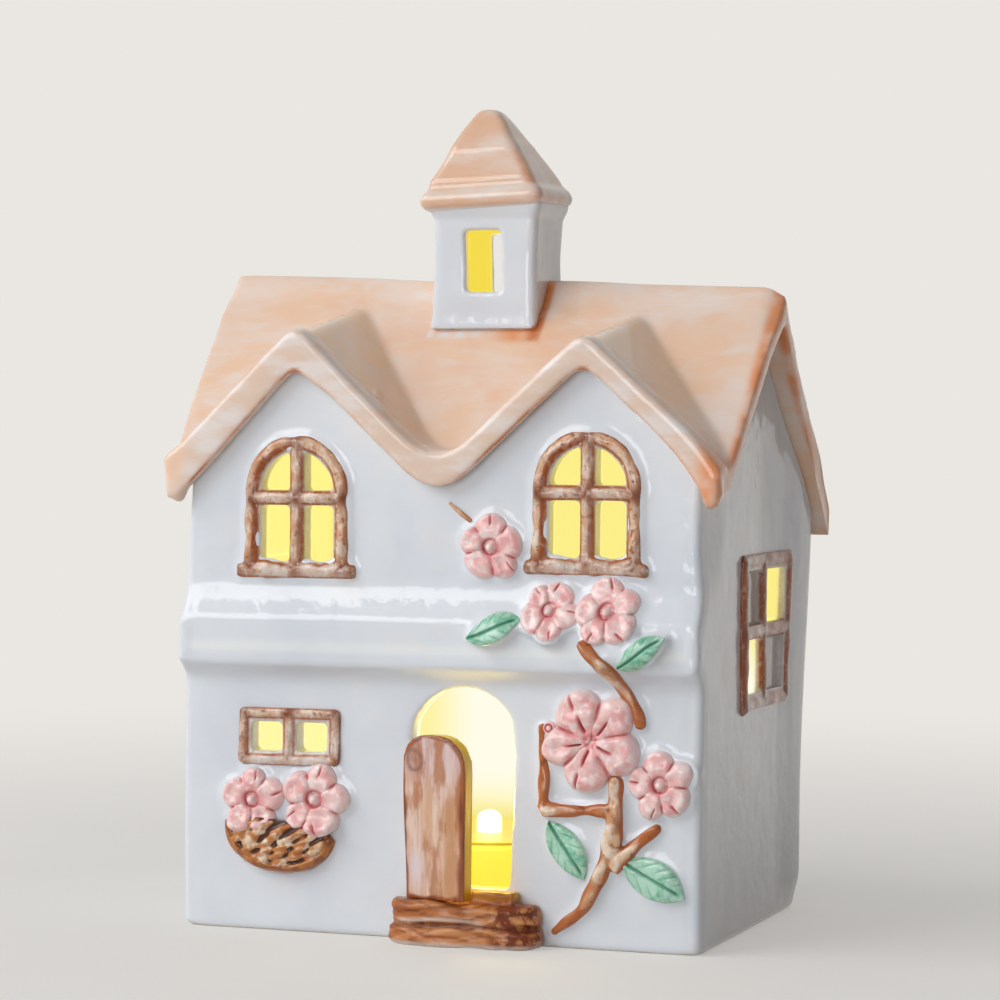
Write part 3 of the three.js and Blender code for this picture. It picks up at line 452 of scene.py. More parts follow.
def glaze(tree, colour, roughness=0.3, ripple=0.05, coat=1.0, lit=False, relief=None):
    """Colour under a clear glass coat. Ripple is the height of the coat's waves in mm."""
    waves = add_node(tree, "ShaderNodeBump", {
        "Height": noise(tree, 9, 2), "Distance": ripple * MM, "Strength": 1.0})
    fine = add_node(tree, "ShaderNodeBump", {
        "Height": noise(tree, 3.2, 2), "Distance": 0.3 * ripple * MM, "Strength": 1.0,
        "Normal": waves.outputs[0]})
    body = fine
    if relief is not None:
        body = add_node(tree, "ShaderNodeBump", {
            "Height": relief, "Distance": 0.16 * MM, "Strength": 1.0, "Normal": fine.outputs[0]})
    if lit:
        deep = band(tree, painted(tree, "lit"), 0.45, 1.0)
        colour = mix(tree, deep, colour, rgba("#2A2418"))
        coat = maths(tree, "SUBTRACT", coat, deep)
    shader = add_node(tree, "ShaderNodeBsdfPrincipled", {
        "Base Color": colour, "Roughness": roughness, "Normal": body.outputs[0],
        "Specular IOR Level": 0.12, "Coat Weight": coat, "Coat Roughness": 0.05,
        "Coat IOR": 1.42, "Coat Normal": fine.outputs[0]})
    if lit:
        tree.links.new(lamplight(tree), shader.inputs["Emission Color"])
        tree.links.new(painted(tree, "lit"), shader.inputs["Emission Strength"])
    add_node(tree, "ShaderNodeOutputMaterial", {"Surface": shader.outputs[0]})


def lamplight(tree):
    """Lamplight on inner faces, by height: deep yellow at the floor, cream, yellow, then gold.

    The LED is too small to light the whole room without grain, so the inner faces glow themselves.
    Heights and depths are in metres here, as the texture coordinate gives them.
    """
    place = add_node(tree, "ShaderNodeTexCoord")
    axes = add_node(tree, "ShaderNodeSeparateXYZ", {0: place.outputs["Object"]})
    across, depth, height = axes.outputs
    tone = mix(tree, band(tree, height, 0.012, 0.021), rgba("#EFDC3A"), rgba("#FCF5C4"))
    bright = mix(tree, band(tree, across, -0.028, -0.015), rgba("#FAF0A0"), rgba("#FDFAE8"))
    tone = mix(tree, band(tree, height, 0.018, 0.026), tone, bright)
    tone = mix(tree, band(tree, height, 0.046, 0.060), tone, rgba("#F9EC88"))
    gold = mix(tree, band(tree, depth, -0.004, 0.008), rgba("#D8B750"), rgba("#F2DA4C"))
    gold = mix(tree, band(tree, depth, 0.0090, 0.0105, 0, 0.35), gold, rgba("#C9A838"))
    return mix(tree, band(tree, height, 0.100, 0.112), tone, gold)


print("the backdrop's linear colour:", [round(v, 3) for v in linear(BACKDROP)])


# %% [markdown]
# ## White glaze
# The walls and the tower are white earthenware under clear glaze. One plain white would do for a
# new plate, but on a big wall it looks like plastic. Here the tone drifts between cool and warm
# over a few centimetres, so the eye sees a hand-dipped pot, and it greys in hollows, partly where
# glaze lies deep and partly as painted shade. An orange brush line runs at the tower's foot.

# %% White glaze
white_glaze, t = new_material("white_glaze")
tone = mix(t, band(t, noise(t, 22, 3), 0.35, 0.7), rgba("#E0E4E8"), rgba("#D8DDE3"))
tone = mix(t, band(t, noise(t, 9, 3), 0.55, 0.75, 0, 0.35), tone, rgba("#E9E3E1"))
# Hollows turn grey: partly glaze lying deep, partly painted shade.
tone = mix(t, band(t, painted(t, "hollow"), 0.0, 0.10, 0.0, 0.4), tone, rgba("#C4C0BC"))
tone = brushed(t, tone, "line", "#D58F5C", 3)
glaze(t, tone, 0.3, 0.30, lit=True)
print(white_glaze.name, len(t.nodes), "nodes")

# %% [markdown]
# ## Peach glaze
# The roof is brushed with thin peach underglaze that shows the white clay between strokes. Two
# washes of noise, 15 and 6 mm wide and drawn out along the roof, lie over each other as strokes
# do. Single strokes could be drawn as curves, but thin washes show no ends. Painted numbers add
# tan on the dormers' right slopes, partly painted shade for slopes turned away from the light,
# orange verges, a paler barge rim and the brown line under it, so the eye sees a roof that was
# painted part by part. Hollows take a darker orange, partly underglaze lying thick and partly
# painted shade, and the cap's right slope is darker by painted shade.

# %% Peach glaze
peach_glaze, t = new_material("peach_glaze")
wash = noise(t, 15, 5, (1.7, 1, 0.8), 0.6, 0.6)
daub = noise(t, 6, 4, (2.2, 1, 0.8), 0.6)
tone = mix(t, band(t, wash, 0.36, 0.62), rgba("#EEC7A8"), rgba("#ECD6C6"))
tone = mix(t, band(t, daub, 0.50, 0.70, 0, 0.65), tone, rgba("#EBDFD6"))
tone = mix(t, band(t, noise(t, 20, 3), 0.52, 0.68, 0, 0.4), tone, rgba("#E9B18A"))
# Tan on the dormers' right slopes: the painter's strokes, and partly painted shade there.
tone = brushed(t, tone, "tan", "#F7D2AC", 5)
tone = brushed(t, tone, "edge", "#E58F55", 8)
# The cap's own darker strokes, and painted shade that darkens its right slope fully.
cap_strokes_and_shade = mix(t, band(t, daub, 0.4, 0.66), rgba("#D39F7A"), rgba("#DABEAA"))
tone = mix(t, painted(t, "shade"), tone, cap_strokes_and_shade)
rim_strokes = mix(t, band(t, daub, 0.40, 0.66), rgba("#E3C7B2"), rgba("#E8DCD4"))
tone = mix(t, painted(t, "rim"), tone, rim_strokes)
# Hollows turn darker orange: partly underglaze lying thick, partly painted shade.
tone = mix(t, band(t, painted(t, "hollow"), 0.01, 0.09, 0.0, 0.75), tone, rgba("#C98E62"))
tone = brushed(t, tone, "line", "#C9743A", 5)
tone = mix(t, painted(t, "white"), tone, rgba("#E3E5E8"))
glaze(t, tone, 0.3, 0.05, lit=True)
print(peach_glaze.name, len(t.nodes), "nodes")

# %% [markdown]
# ## Brown glaze of the casements
# Iron-brown stain was laid over the window strips and wiped off their tops, so it stays dark at
# the edges, joints and pits, and the strips are pale between. Ambient occlusion could darken the
# corners, but stain also lies where a loaded brush began. The number `edge` follows the strips'
# sides, and on the front casements it also holds painted shade on their right and lower sides,
# away from the light; `knot` follows their joints, and `bare` the white clay that was missed;
# pits are 1 to 2 mm wide.

# %% Brown glaze
brown_glaze, t = new_material("brown_glaze")
streak = noise(t, 1.8, 4, (1, 1, 1.5), 0.65, 0.8)
patch = noise(t, 5.0, 3)
tone = mix(t, band(t, streak, 0.36, 0.62), rgba("#E3CCB8"), rgba("#D3A680"))
tone = mix(t, band(t, patch, 0.50, 0.62, 0, 0.6), tone, rgba("#BE7438"))
tone = mix(t, band(t, noise(t, 1.3, 3), 0.58, 0.68, 0, 0.8), tone, rgba("#8A4210"))
# Stain along the strips' sides, plus painted shade on the front strips' right and lower sides.
edge = maths(t, "MULTIPLY", painted(t, "edge"), band(t, streak, 0.3, 0.55, 0.55, 1.0))
tone = mix(t, edge, tone, rgba("#A24C0C"))
pooled_stain = maths(t, "MULTIPLY", painted(t, "knot"), band(t, streak, 0.35, 0.5, 0.5, 1.0))
tone = mix(t, pooled_stain, tone, rgba("#7A3404"))
missed = mix(t, band(t, streak, 0.4, 0.7), rgba("#DAD8D6"), rgba("#CDBFB2"))
tone = mix(t, painted(t, "bare"), tone, missed)
glaze(t, tone, 0.32, 0.05, lit=True, relief=noise(t, 1.1, 3))
print(brown_glaze.name, len(t.nodes), "nodes")

# %% [markdown]
# ## Pink and green glaze
# Blossoms and leaves are dabbed with a loaded brush: the colour runs off the puffed tops, which
# stay pale, and gathers in the grooves. One even pink would look moulded in plastic.

# %% Pink and green glaze
pink_glaze, t = new_material("pink_glaze")
wash = noise(t, 3.6, 4, (1, 1, 1), 0.6, 0.5)
tone = mix(t, band(t, wash, 0.35, 0.62), rgba("#EAA9A6"), rgba("#F0CBC5"))
tone = mix(t, band(t, noise(t, 1.9, 3), 0.50, 0.66, 0, 0.75), tone, rgba("#F3E2DD"))
tone = mix(t, band(t, painted(t, "groove"), 0.05, 0.5, 0, 0.85), tone, rgba("#DE8080"))
tone = mix(t, band(t, painted(t, "groove"), 0.5, 0.95), tone, rgba("#B8434C"))
tone = mix(t, maths(t, "MULTIPLY", painted(t, "white"), 0.8), tone, rgba("#EFE3E1"))
glaze(t, tone, 0.3, 0.04)

green_glaze, t = new_material("green_glaze")
wash = noise(t, 2.6, 4, (1, 1, 1), 0.6, 0.5)
tone = mix(t, band(t, wash, 0.35, 0.62), rgba("#74BA98"), rgba("#B2DAC4"))
tone = mix(t, band(t, noise(t, 1.5, 3), 0.55, 0.7, 0, 0.6), tone, rgba("#C6DFCF"))
tone = mix(t, painted(t, "groove"), tone, rgba("#2F8260"))
tone = mix(t, painted(t, "white"), tone, rgba("#DCE6E1"))
glaze(t, tone, 0.3, 0.04)
print(pink_glaze.name, green_glaze.name)

# %% [markdown]
# ## Branch and basket glaze
# Both are rolls of clay stained brown. A picture of bark or cane would show more detail than a
# brush on clay can leave. So the branch is pale on top with orange-brown sides and dark specks, 1
# to 2 mm wide, and the basket's stain lies nearly black in the gaps of its weave.

# %% Branch and basket glaze
branch_glaze, t = new_material("branch_glaze")
streak = noise(t, 2.2, 4, (1, 1, 1.5), 0.65, 0.6)
tone = mix(t, band(t, streak, 0.36, 0.62), rgba("#DDB28A"), rgba("#EBD8C4"))
tone = mix(t, band(t, noise(t, 4.2, 3), 0.48, 0.62, 0, 0.8), tone, rgba("#B87844"))
tone = mix(t, band(t, painted(t, "edge"), 0.15, 0.7, 0, 0.95), tone, rgba("#B05C1E"))
tone = mix(t, band(t, noise(t, 1.6, 3), 0.60, 0.70, 0, 0.8), tone, rgba("#7A4420"))
tone = mix(t, painted(t, "white"), tone, rgba("#DDD9D4"))
glaze(t, tone, 0.32, 0.05)

basket_glaze, t = new_material("basket_glaze")
tone = mix(t, band(t, noise(t, 2.4, 4), 0.44, 0.60), rgba("#C07A3C"), rgba("#E4CCAE"))
tone = mix(t, band(t, noise(t, 3.4, 3), 0.48, 0.60, 0, 0.8), tone, rgba("#AE622A"))
rim_stain = mix(t, band(t, noise(t, 2.5, 3), 0.4, 0.6), rgba("#B5702F"), rgba("#8E4E22"))
tone = mix(t, painted(t, "edge"), tone, rim_stain)
tone = mix(t, painted(t, "groove"), tone, rgba("#4A2410"))
tone = mix(t, painted(t, "white"), tone, rgba("#E0DEDB"))
glaze(t, tone, 0.32, 0.05)
print(branch_glaze.name, basket_glaze.name)

# %% [markdown]
# ## Door and step glaze
# The door leaf and the step are painted to look like wood. Wood rings as in real timber would be
# too regular: these are streaks 2 to 3 mm wide, drawn out nine times along the leaf and seven
# times along the step, with a knot and a dark outline. The step is less glossy, because its stain
# is thick.

# %% Door and step glaze
door_glaze, t = new_material("door_glaze")
streak = noise(t, 2.0, 5, (1, 1, 9), 0.6, 0.3)
place = add_node(t, "ShaderNodeTexCoord")
height = add_node(t, "ShaderNodeSeparateXYZ", {0: place.outputs["Object"]}).outputs[2]
tone = mix(t, band(t, streak, 0.34, 0.66), rgba("#D0A382"), rgba("#E6CBBA"))
tone = mix(t, band(t, noise(t, 7, 3, (1, 1, 2)), 0.42, 0.62, 0, 0.8), tone, rgba("#BE875C"))
rosy_streaks = mix(t, band(t, streak, 0.4, 0.6), rgba("#C6A09A"), rgba("#DCC4C6"))
tone = mix(t, band(t, height, 0.026, 0.036, 0, 0.75), tone, rosy_streaks)
tone = mix(t, band(t, streak, 0.56, 0.70, 0, 0.5), tone, rgba("#A06A4E"))
tone = mix(t, band(t, noise(t, 3.2, 4, (1, 1, 3)), 0.50, 0.64, 0, 0.8), tone, rgba("#B06E3C"))
tone = mix(t, maths(t, "MULTIPLY", painted(t, "white"), 0.8), tone, rgba("#D9C9CF"))
tone = mix(t, maths(t, "MULTIPLY", painted(t, "knot"), 0.85), tone, rgba("#84605C"))
outline_stain = mix(t, band(t, streak, 0.4, 0.6), rgba("#A2592A"), rgba("#7C3C20"))
tone = mix(t, band(t, painted(t, "edge"), 0.3, 1.0), tone, outline_stain)
# Painted light: gold on the leaf's free edge, as if lit by the lamp through the doorway.
tone = mix(t, painted(t, "gold"), tone, rgba("#D0A428"))
glaze(t, tone, 0.32, 0.05, relief=streak)

step_glaze, t = new_material("step_glaze")
streak = noise(t, 2.6, 5, (7, 7, 1), 0.65, 0.4)
tone = mix(t, band(t, streak, 0.36, 0.6), rgba("#AE6430"), rgba("#CB8C5A"))
tone = mix(t, band(t, streak, 0.58, 0.72, 0, 0.7), tone, rgba("#DCB896"))
tone = mix(t, band(t, noise(t, 5, 3), 0.48, 0.66, 0, 0.7), tone, rgba("#8C4624"))
mottle = maths(t, "MULTIPLY", painted(t, "edge"), band(t, noise(t, 2.0, 4), 0.42, 0.56))
tone = mix(t, mottle, tone, rgba("#7A3616"))
tone = mix(t, painted(t, "groove"), tone, rgba("#6A2E14"))
# Painted light: gold on the step's top next to the doorway, as if lit by the lamp inside.
tone = mix(t, painted(t, "gold"), tone, rgba("#D9A224"))
tone = mix(t, painted(t, "white"), tone, rgba("#D9CFC6"))
glaze(t, tone, 0.5, 0.05, 0.45, relief=streak)
print(door_glaze.name, step_glaze.name)

# %% [markdown]
# ## Bare clay
# The foot of the walls is wiped free of glaze, or it would stick to the kiln shelf. It could be the
# white glaze without its coat, but bare clay is also warmer: matt, with a grit 0.5 mm wide.

# %% Bare clay
bare_clay, t = new_material("bare_clay")
tone = mix(t, band(t, noise(t, 3, 4), 0.35, 0.7), rgba("#E4DCD0"), rgba("#D3C7B6"))
grit = add_node(t, "ShaderNodeBump", {
    "Height": noise(t, 0.5, 3), "Distance": 0.04 * MM, "Strength": 1.0})
clay = add_node(t, "ShaderNodeBsdfPrincipled", {
    "Base Color": tone, "Roughness": 0.85, "Normal": grit.outputs[0]})
add_node(t, "ShaderNodeOutputMaterial", {"Surface": clay.outputs[0]})
print("glazes:", len(bpy.data.materials))

# %% [markdown]
# ## Plastic and metal of the light
# The light is injection moulded: an even colour with a fine spark-eroded grain. Real grain is too
# fine to show, so it is drawn 0.35 mm wide. Its housing is milky and lit from inside; rather than
# tracing light through it, the shell glows, brighter where it is seen face on.

# %% Materials of the light


def moulded(name, colour, dark, roughness, grain=0.35, height=0.01, metallic=0.0, glow=None):
    """Moulded plastic or metal: a fine grain with small shifts of tone and gloss. `glow` holds the
    colours of its own light seen side on and face on, and their strength."""
    material, tree = new_material(name)
    speck = noise(tree, grain, 3)
    shade = mix(tree, band(tree, noise(tree, 6, 3), 0.35, 0.7), rgba(colour), rgba(dark))
    rough = band(tree, speck, 0.3, 0.7, roughness - 0.06, roughness + 0.06)
    bump = add_node(tree, "ShaderNodeBump", {
        "Height": speck, "Distance": height * MM, "Strength": 1.0})
    shader = add_node(tree, "ShaderNodeBsdfPrincipled", {
        "Base Color": shade, "Roughness": rough, "Normal": bump.outputs[0], "Metallic": metallic})
    if glow:
        side_on, face_on, strength = glow
        facing = add_node(tree, "ShaderNodeLayerWeight", {"Blend": 0.5}).outputs["Facing"]
        own_light = mix(tree, band(tree, facing, 0.15, 0.75), rgba(face_on), rgba(side_on))
        tree.links.new(own_light, shader.inputs["Emission Color"])
        shader.inputs["Emission Strength"].default_value = strength
    add_node(tree, "ShaderNodeOutputMaterial", {"Surface": shader.outputs[0]})
    return material


def rim_line(material, height):
    """Draws the thin shaded line of a moulded edge round a lit plastic piece, at a height in mm."""
    tree = material.node_tree
    shader = next(made for made in tree.nodes if made.type == "BSDF_PRINCIPLED")
    place = add_node(tree, "ShaderNodeTexCoord")
    level = add_node(tree, "ShaderNodeSeparateXYZ", {0: place.outputs["Object"]}).outputs[2]
    on_line = maths(tree, "MULTIPLY", band(tree, level, (height - 0.5) * MM, (height - 0.3) * MM),
                    band(tree, level, (height + 0.1) * MM, height * MM))
    own_light = shader.inputs["Emission Color"].links[0].from_socket
    tree.links.new(mix(tree, on_line, own_light, rgba("#7A6A1C")), shader.inputs["Emission Color"])


milky_plastic = moulded("milky_plastic", "#6A5C20", "#5C5018", 0.35,
                        glow=("#E8C820", "#F8EC50", 0.85))
rim_line(milky_plastic, 16.6)
white_plastic = moulded("white_plastic", "#E6E6E2", "#DDDDD8", 0.45)
lamp_epoxy = moulded("lamp_epoxy", "#FFFDF0", "#FFF8DC", 0.12, glow=("#FFF6C0", "#FFFDF0", 1.6))
steel = moulded("nickel_steel", "#C2C5C8", "#AEB1B5", 0.3, metallic=1.0)
board_laminate = moulded("green_laminate", "#2E6B46", "#275D3C", 0.45)
black_plastic = moulded("black_plastic", "#202022", "#18181A", 0.5)
print("materials:", len(bpy.data.materials))

# %% [markdown]
# ## Floor
# A wide pale sheet shows the object's shadow and turns into the backdrop further out, so that no
# horizon cuts through the picture. A curved studio sheet would do it too, but would bend shadows.

# %% Floor
floor_paper, t = new_material("pale_paper")
fibre = add_node(t, "ShaderNodeBump", {
    "Height": noise(t, 1.2, 3), "Distance": 0.02 * MM, "Strength": 0.5})
paper_tone = mix(t, band(t, noise(t, 60, 3), 0.3, 0.7), rgba("#E6E3DE"), rgba("#E1DEDA"))
paper = add_node(t, "ShaderNodeBsdfPrincipled", {
    "Base Color": paper_tone, "Roughness": 0.8, "Normal": fibre.outputs[0]})
place = add_node(t, "ShaderNodeTexCoord")
far = add_node(t, "ShaderNodeVectorMath", {0: place.outputs["Object"]}, operation="LENGTH")
rays = add_node(t, "ShaderNodeLightPath")
seen = maths(t, "MAXIMUM", rays.outputs["Is Camera Ray"], rays.outputs["Is Glossy Ray"])
seen = maths(t, "MAXIMUM", seen, rays.outputs["Is Transmission Ray"])
share = maths(t, "MULTIPLY", seen, band(t, far.outputs["Value"], 0.05, 0.5, 0.45, 1.0))
distance = add_node(t, "ShaderNodeEmission", {"Color": rgba(BACKDROP), "Strength": 1.0})
paper = add_node(t, "ShaderNodeMixShader", {
    0: share, 1: paper.outputs[0], 2: distance.outputs[0]})
add_node(t, "ShaderNodeOutputMaterial", {"Surface": paper.outputs[0]})
corners = [(-4000, -4000, 0), (4000, -4000, 0), (4000, 4000, 0), (-4000, 4000, 0)]
floor = make_object("floor", corners, [(0, 1, 2, 3)])
floor.data.materials.append(floor_paper)
print("floor:", floor.name)

# %% [markdown]
# ## Where the sprigs sit
# Blossoms, leaves and branches are pressed on the wet wall, and glaze fills the corner around each
# with a soft swelling. Their places are read from their CAD nodes; the branches' lines are written
# here as x, z and radius in mm.

# %% Where the sprigs sit
ROUND, OPEN = (0.49, 0.51), (0.545, 0.455)
BLOSSOMS = {
    "blossom_high": (90, ROUND, 0.45),
    "blossom_left": (60, ROUND, 0.62),
    "blossom_right": (100, ROUND, 0.62),
    "blossom_large": (118, OPEN, 0.26),
    "blossom_low": (100, OPEN, 0.40),
    "basket_blossom_left": (90, OPEN, 0.48),
    "basket_blossom_right": (75, OPEN, 0.48),
}
LEAVES = ("leaf_upper_left", "leaf_upper_right", "leaf_lower_left", "leaf_lower_right")
STEMS = {
    "blossom_trunk": [
        [(35.6, 31.6, 1.4), (35.7, 26.3, 1.6), (35.1, 19.5, 1.7), (32.8, 13.8, 1.6), (29.6, 7.8, 1.2),
         (23.4, 3, 0.7)],
        [(44, 22.8, 0.9), (39.8, 19.4, 1.3), (35.3, 15.2, 1.4)],
        [(35.2, 25.5, 1.3), (27.2, 25.2, 1.2), (21.4, 25.2, 1.3)],
        [(20.9, 41, 0.8), (20.7, 37.4, 0.8), (21.6, 32, 1.0), (21.3, 25.6, 1.2)],
    ],
    "upper_branch": [
        [(29.7, 57, 1.1), (33.9, 52.8, 1.5), (37, 48, 1.4), (39.6, 44.6, 1.3), (40.3, 41.2, 0.9)]],
    "twig": [[(1.6, 82.6, 0.4), (3.8, 80.9, 0.5), (6, 79.2, 0.55)]],
}


def span(node):
    """Least and greatest x, y and z of a CAD node, in house coordinates."""
    points = part_of(node)[0]
    return points.min(0), points.max(0)


def spot(name):
    """Middle and size of a blossom's CAD node on the wall."""
    x, _, z = part_of(name)[0].T
    size = max(np.hypot(x - x.mean(), z - z.mean()))
    return x.mean(), z.mean(), size


def leaf_lie(name):
    """Middle, length, width and turn of a leaf's CAD node on the wall."""
    flat = part_of(name)[0][:, [0, 2]]
    middle = flat.mean(0)
    _, axes = np.linalg.eigh(np.cov((flat - middle).T))
    along, across = axes[:, 1] * np.sign(axes[0, 1]), axes[:, 0]
    length, width = (np.ptp((flat - middle) @ axis) for axis in (along, across))
    return middle[0], middle[1], length, width, np.arctan2(along[1], along[0])


FIFTH = np.radians(72)  # the angle of one of five petals


def blossom_reach(angle, turn, petal):
    """Outline of five round petals, as a share of the blossom's radius."""
    centre, radius = petal
    off = (angle - np.radians(turn) + FIFTH / 2) % FIFTH - FIFTH / 2
    return centre * np.cos(off) + np.sqrt(radius ** 2 - (centre * np.sin(off)) ** 2)


print("sprigs:", len(BLOSSOMS), "blossoms,", len(LEAVES), "leaves,", len(STEMS), "stems")

# %% [markdown]
# ## Pads and rolls
# A pad is the soft swelling of glaze under a sprig; a roll is a string of clay, thinner at its
# ends. Curves with a bevel could draw rolls, but they bend badly over the jetty, so both are built
# as rings of points laid on the wall.

# %% Pads and rolls


def disc_faces(rings, sectors):
    """Faces of a stack of rings, closed at both ends; the two closing points come last."""
    faces = []
    for level in range(rings - 1):
        for i in range(sectors):
            a, b = level * sectors + i, level * sectors + (i + 1) % sectors
            faces.append((a, b, b + sectors, a + sectors))
    first, last = rings * sectors, rings * sectors + 1
    top = (rings - 1) * sectors
    faces += [(first, (i + 1) % sectors, i) for i in range(sectors)]
    faces += [(last, top + i, top + (i + 1) % sectors) for i in range(sectors)]
    return faces


def wall_pad(x, z, angles, reach, height, sunk=1.2):
    """A low closed pad on the wall; reach holds its outline radius at the given angles."""
    rings = []
    for share, lift in ((0.5, -sunk), (1, -sunk), (1, 0.4 * height), (0.92, height), (0.5, height)):
        rings.append(on_wall(x + share * reach * np.cos(angles), z + share * reach * np.sin(angles), lift))
    middle = np.array([on_wall(x, z, -sunk), on_wall(x, z, height)])
    return np.concatenate(rings + [middle]), disc_faces(5, len(reach))


def roll(path, uneven=0.0, seed=0, flat=1.0, lift=0.45, grow=0.0, face=on_wall):
    """A tapering roll of clay along (x, z, radius) points, bedded on the wall."""
    path = np.array(path, float)
    run = np.concatenate([[0], np.cumsum(np.hypot(*np.diff(path[:, :2], axis=0).T))])
    count = max(8, int(run[-1] / 0.7))
    t = np.linspace(0, run[-1], count)
    x, z, radius = (np.interp(t, run, path[:, k]) for k in range(3))
    if len(path) > 2:
        for _ in range(6):
            x[1:-1] = (x[:-2] + x[2:] + 2 * x[1:-1]) / 4
            z[1:-1] = (z[:-2] + z[2:] + 2 * z[1:-1]) / 4
    rng = np.random.default_rng(seed)
    waves = sum(np.sin(t / length + rng.uniform(0, 6.3)) for length in (0.9, 1.7, 3.1)) / 3
    radius = radius * (1 + uneven * waves) + grow
    dx, dz = np.gradient(x), np.gradient(z)
    size = np.hypot(dx, dz)
    dx, dz = dx / size, dz / size
    sides = 16
    angle = np.linspace(0, 2 * np.pi, sides, endpoint=False)
    rings = []
    for i in range(count):
        bump = radius[i] * (1 + 0.5 * uneven * np.sin(3 * angle + t[i] / 1.3 + seed))
        across = bump * np.cos(angle)
        rings.append(face(x[i] + dz[i] * across, z[i] - dx[i] * across,
                          flat * (lift * radius[i] + bump * np.sin(angle))))
    ends = [face(x[i] - s * dx[i] * 0.6 * radius[i], z[i] - s * dz[i] * 0.6 * radius[i],
                 flat * lift * radius[i]) for i, s in ((0, 1), (count - 1, -1))]
    return np.concatenate(rings + [np.array(ends)]), disc_faces(count, sides)


print("points in the twig's roll:", len(roll(STEMS["twig"][0])[0]))

# %% [markdown]
# ## Pads under the sprigs
# Every sprig but the twig gets its pad, a little wider than itself. They are kept in one list and
# poured with the wall, so that they melt into it.

# %% Pads under the sprigs
LUMP = (34.7, 54.2, 3.2)  # x, z and radius of a lump of glaze beside the upper branch, mm
round_about = np.linspace(0, 2 * np.pi, 60, endpoint=False)
pads = []
for name, (turn, petal, _) in BLOSSOMS.items():
    px, pz, size = spot(name)
    outline = size * blossom_reach(round_about, turn, petal) + 0.6
    pads.append(wall_pad(px, pz, round_about, outline, 0.6))
for name in LEAVES:
    px, pz, length, width, turn = leaf_lie(name)
    along = np.abs(np.cos(round_about - turn)) / (length / 2)
    across = np.abs(np.sin(round_about - turn)) / (width / 2)
    outline = (along ** 1.6 + across ** 1.6) ** (-1 / 1.6) + 0.5
    pads.append(wall_pad(px, pz, round_about, outline, 0.5))
pads.append(wall_pad(LUMP[0], LUMP[1], round_about, LUMP[2] + 0 * round_about, 0.5))
for name in ("blossom_trunk", "upper_branch"):
    for line in STEMS[name]:
        pads.append(roll(line, grow=0.45, flat=0.5, lift=0.1))
print("pads under the sprigs:", len(pads))

# %% [markdown]
# ## Lines of the casements
# The window frames are thin strips of clay. Each is written as a line of x, z and radius, worked
# out from its CAD node's box. Each line gives its strip, and the arch and sill of an arched window
# also give a soft pad on the wall.

# %% Lines of the casements
STRIP = 1.2  # half the width of a strip, mm


def arched_lines(node):
    """Strips of an arched casement: the arch with its stiles, the muntin, the transom and the sill."""
    low, high = span(node)
    centre, sill = (low[0] + high[0]) / 2, low[2]
    reach = (high[0] - low[0]) / 2 - 1.6 - 1.35
    spring = high[2] - reach - 1.35
    arch = [(centre + reach * np.cos(a), spring + reach * np.sin(a), STRIP)
            for a in np.linspace(0, np.pi, 15)]
    foot, bar = sill + 2, sill + 15.4
    return [
        [(centre + reach, foot, 1.1 * STRIP)] + arch + [(centre - reach, foot, 1.1 * STRIP)],
        [(centre, foot, STRIP), (centre, spring + reach, 0.9 * STRIP)],
        [(centre - reach, bar, STRIP), (centre + reach, bar, 0.9 * STRIP)],
        [(centre - reach - 2.2, sill + 1.5, 1.2), (centre - 6, sill + 1.7, 1.6),
         (centre - 2, sill + 1.2, 1.2), (centre + 1, sill + 1.8, 1.7), (centre + 5, sill + 1.2, 1.2),
         (centre + reach - 1, sill + 1.8, 1.7), (centre + reach + 2.2, sill + 1.3, 1.2)],
    ]


def square_lines(node, axis, radius):
    """Strips of a square casement: two stiles, head, sill, muntin, and a bar when it is tall."""
    low, high = span(node)
    left, right = low[axis] + radius + 0.1, high[axis] - radius - 0.1
    if axis == 1 and high[0] < 0:
        left, right = -right, -left
    centre, foot, top = (left + right) / 2, low[2] + radius + 0.1, high[2] - radius - 0.1
    wide = [1.0, 1.0] if axis == 0 else [1.35, 1.0][::1 if high[0] > 0 else -1]
    lines = [
        [(left, foot - (wide[0] - 1) * 3, wide[0] * radius), (left, top, wide[0] * radius)],
        [(right, foot - (wide[1] - 1) * 3, wide[1] * radius), (right, top, wide[1] * radius)],
        [(left, foot, radius), (right, foot, radius)], [(left, top, radius), (right, top, radius)],
        [(centre, foot, radius), (centre, top, radius)],
    ]
    if top - foot > 20:
        lines.append([(left, (foot + top) / 2, radius), (right, (foot + top) / 2, radius)])
    return lines


for name in ("left_arched_window", "right_arched_window"):
    for line in (arched_lines(name)[0], arched_lines(name)[3]):
        pads.append(roll(line, grow=0.85, flat=0.35, lift=0.1))
print("pads on the wall:", len(pads))

# %% [markdown]
# ## Walls
# The walls come from their CAD solid, poured again as a soft skin with the pads. Pouring rounds
# the front corners too much, so they are drawn out again to a tighter curve. The point number
# `lit` says how deep inside the shell a point lies: lamplight fills the room and fades out in the
# reveals of the openings.

# %% Walls
_, walls_high = span("house_walls")
half_width, half_depth = walls_high[0], walls_high[1]


def depth_in_walls(points):
    x, y, z = points.T
    return np.minimum(np.minimum(half_width - np.abs(x), half_depth - y), y + half_depth + swell(z))


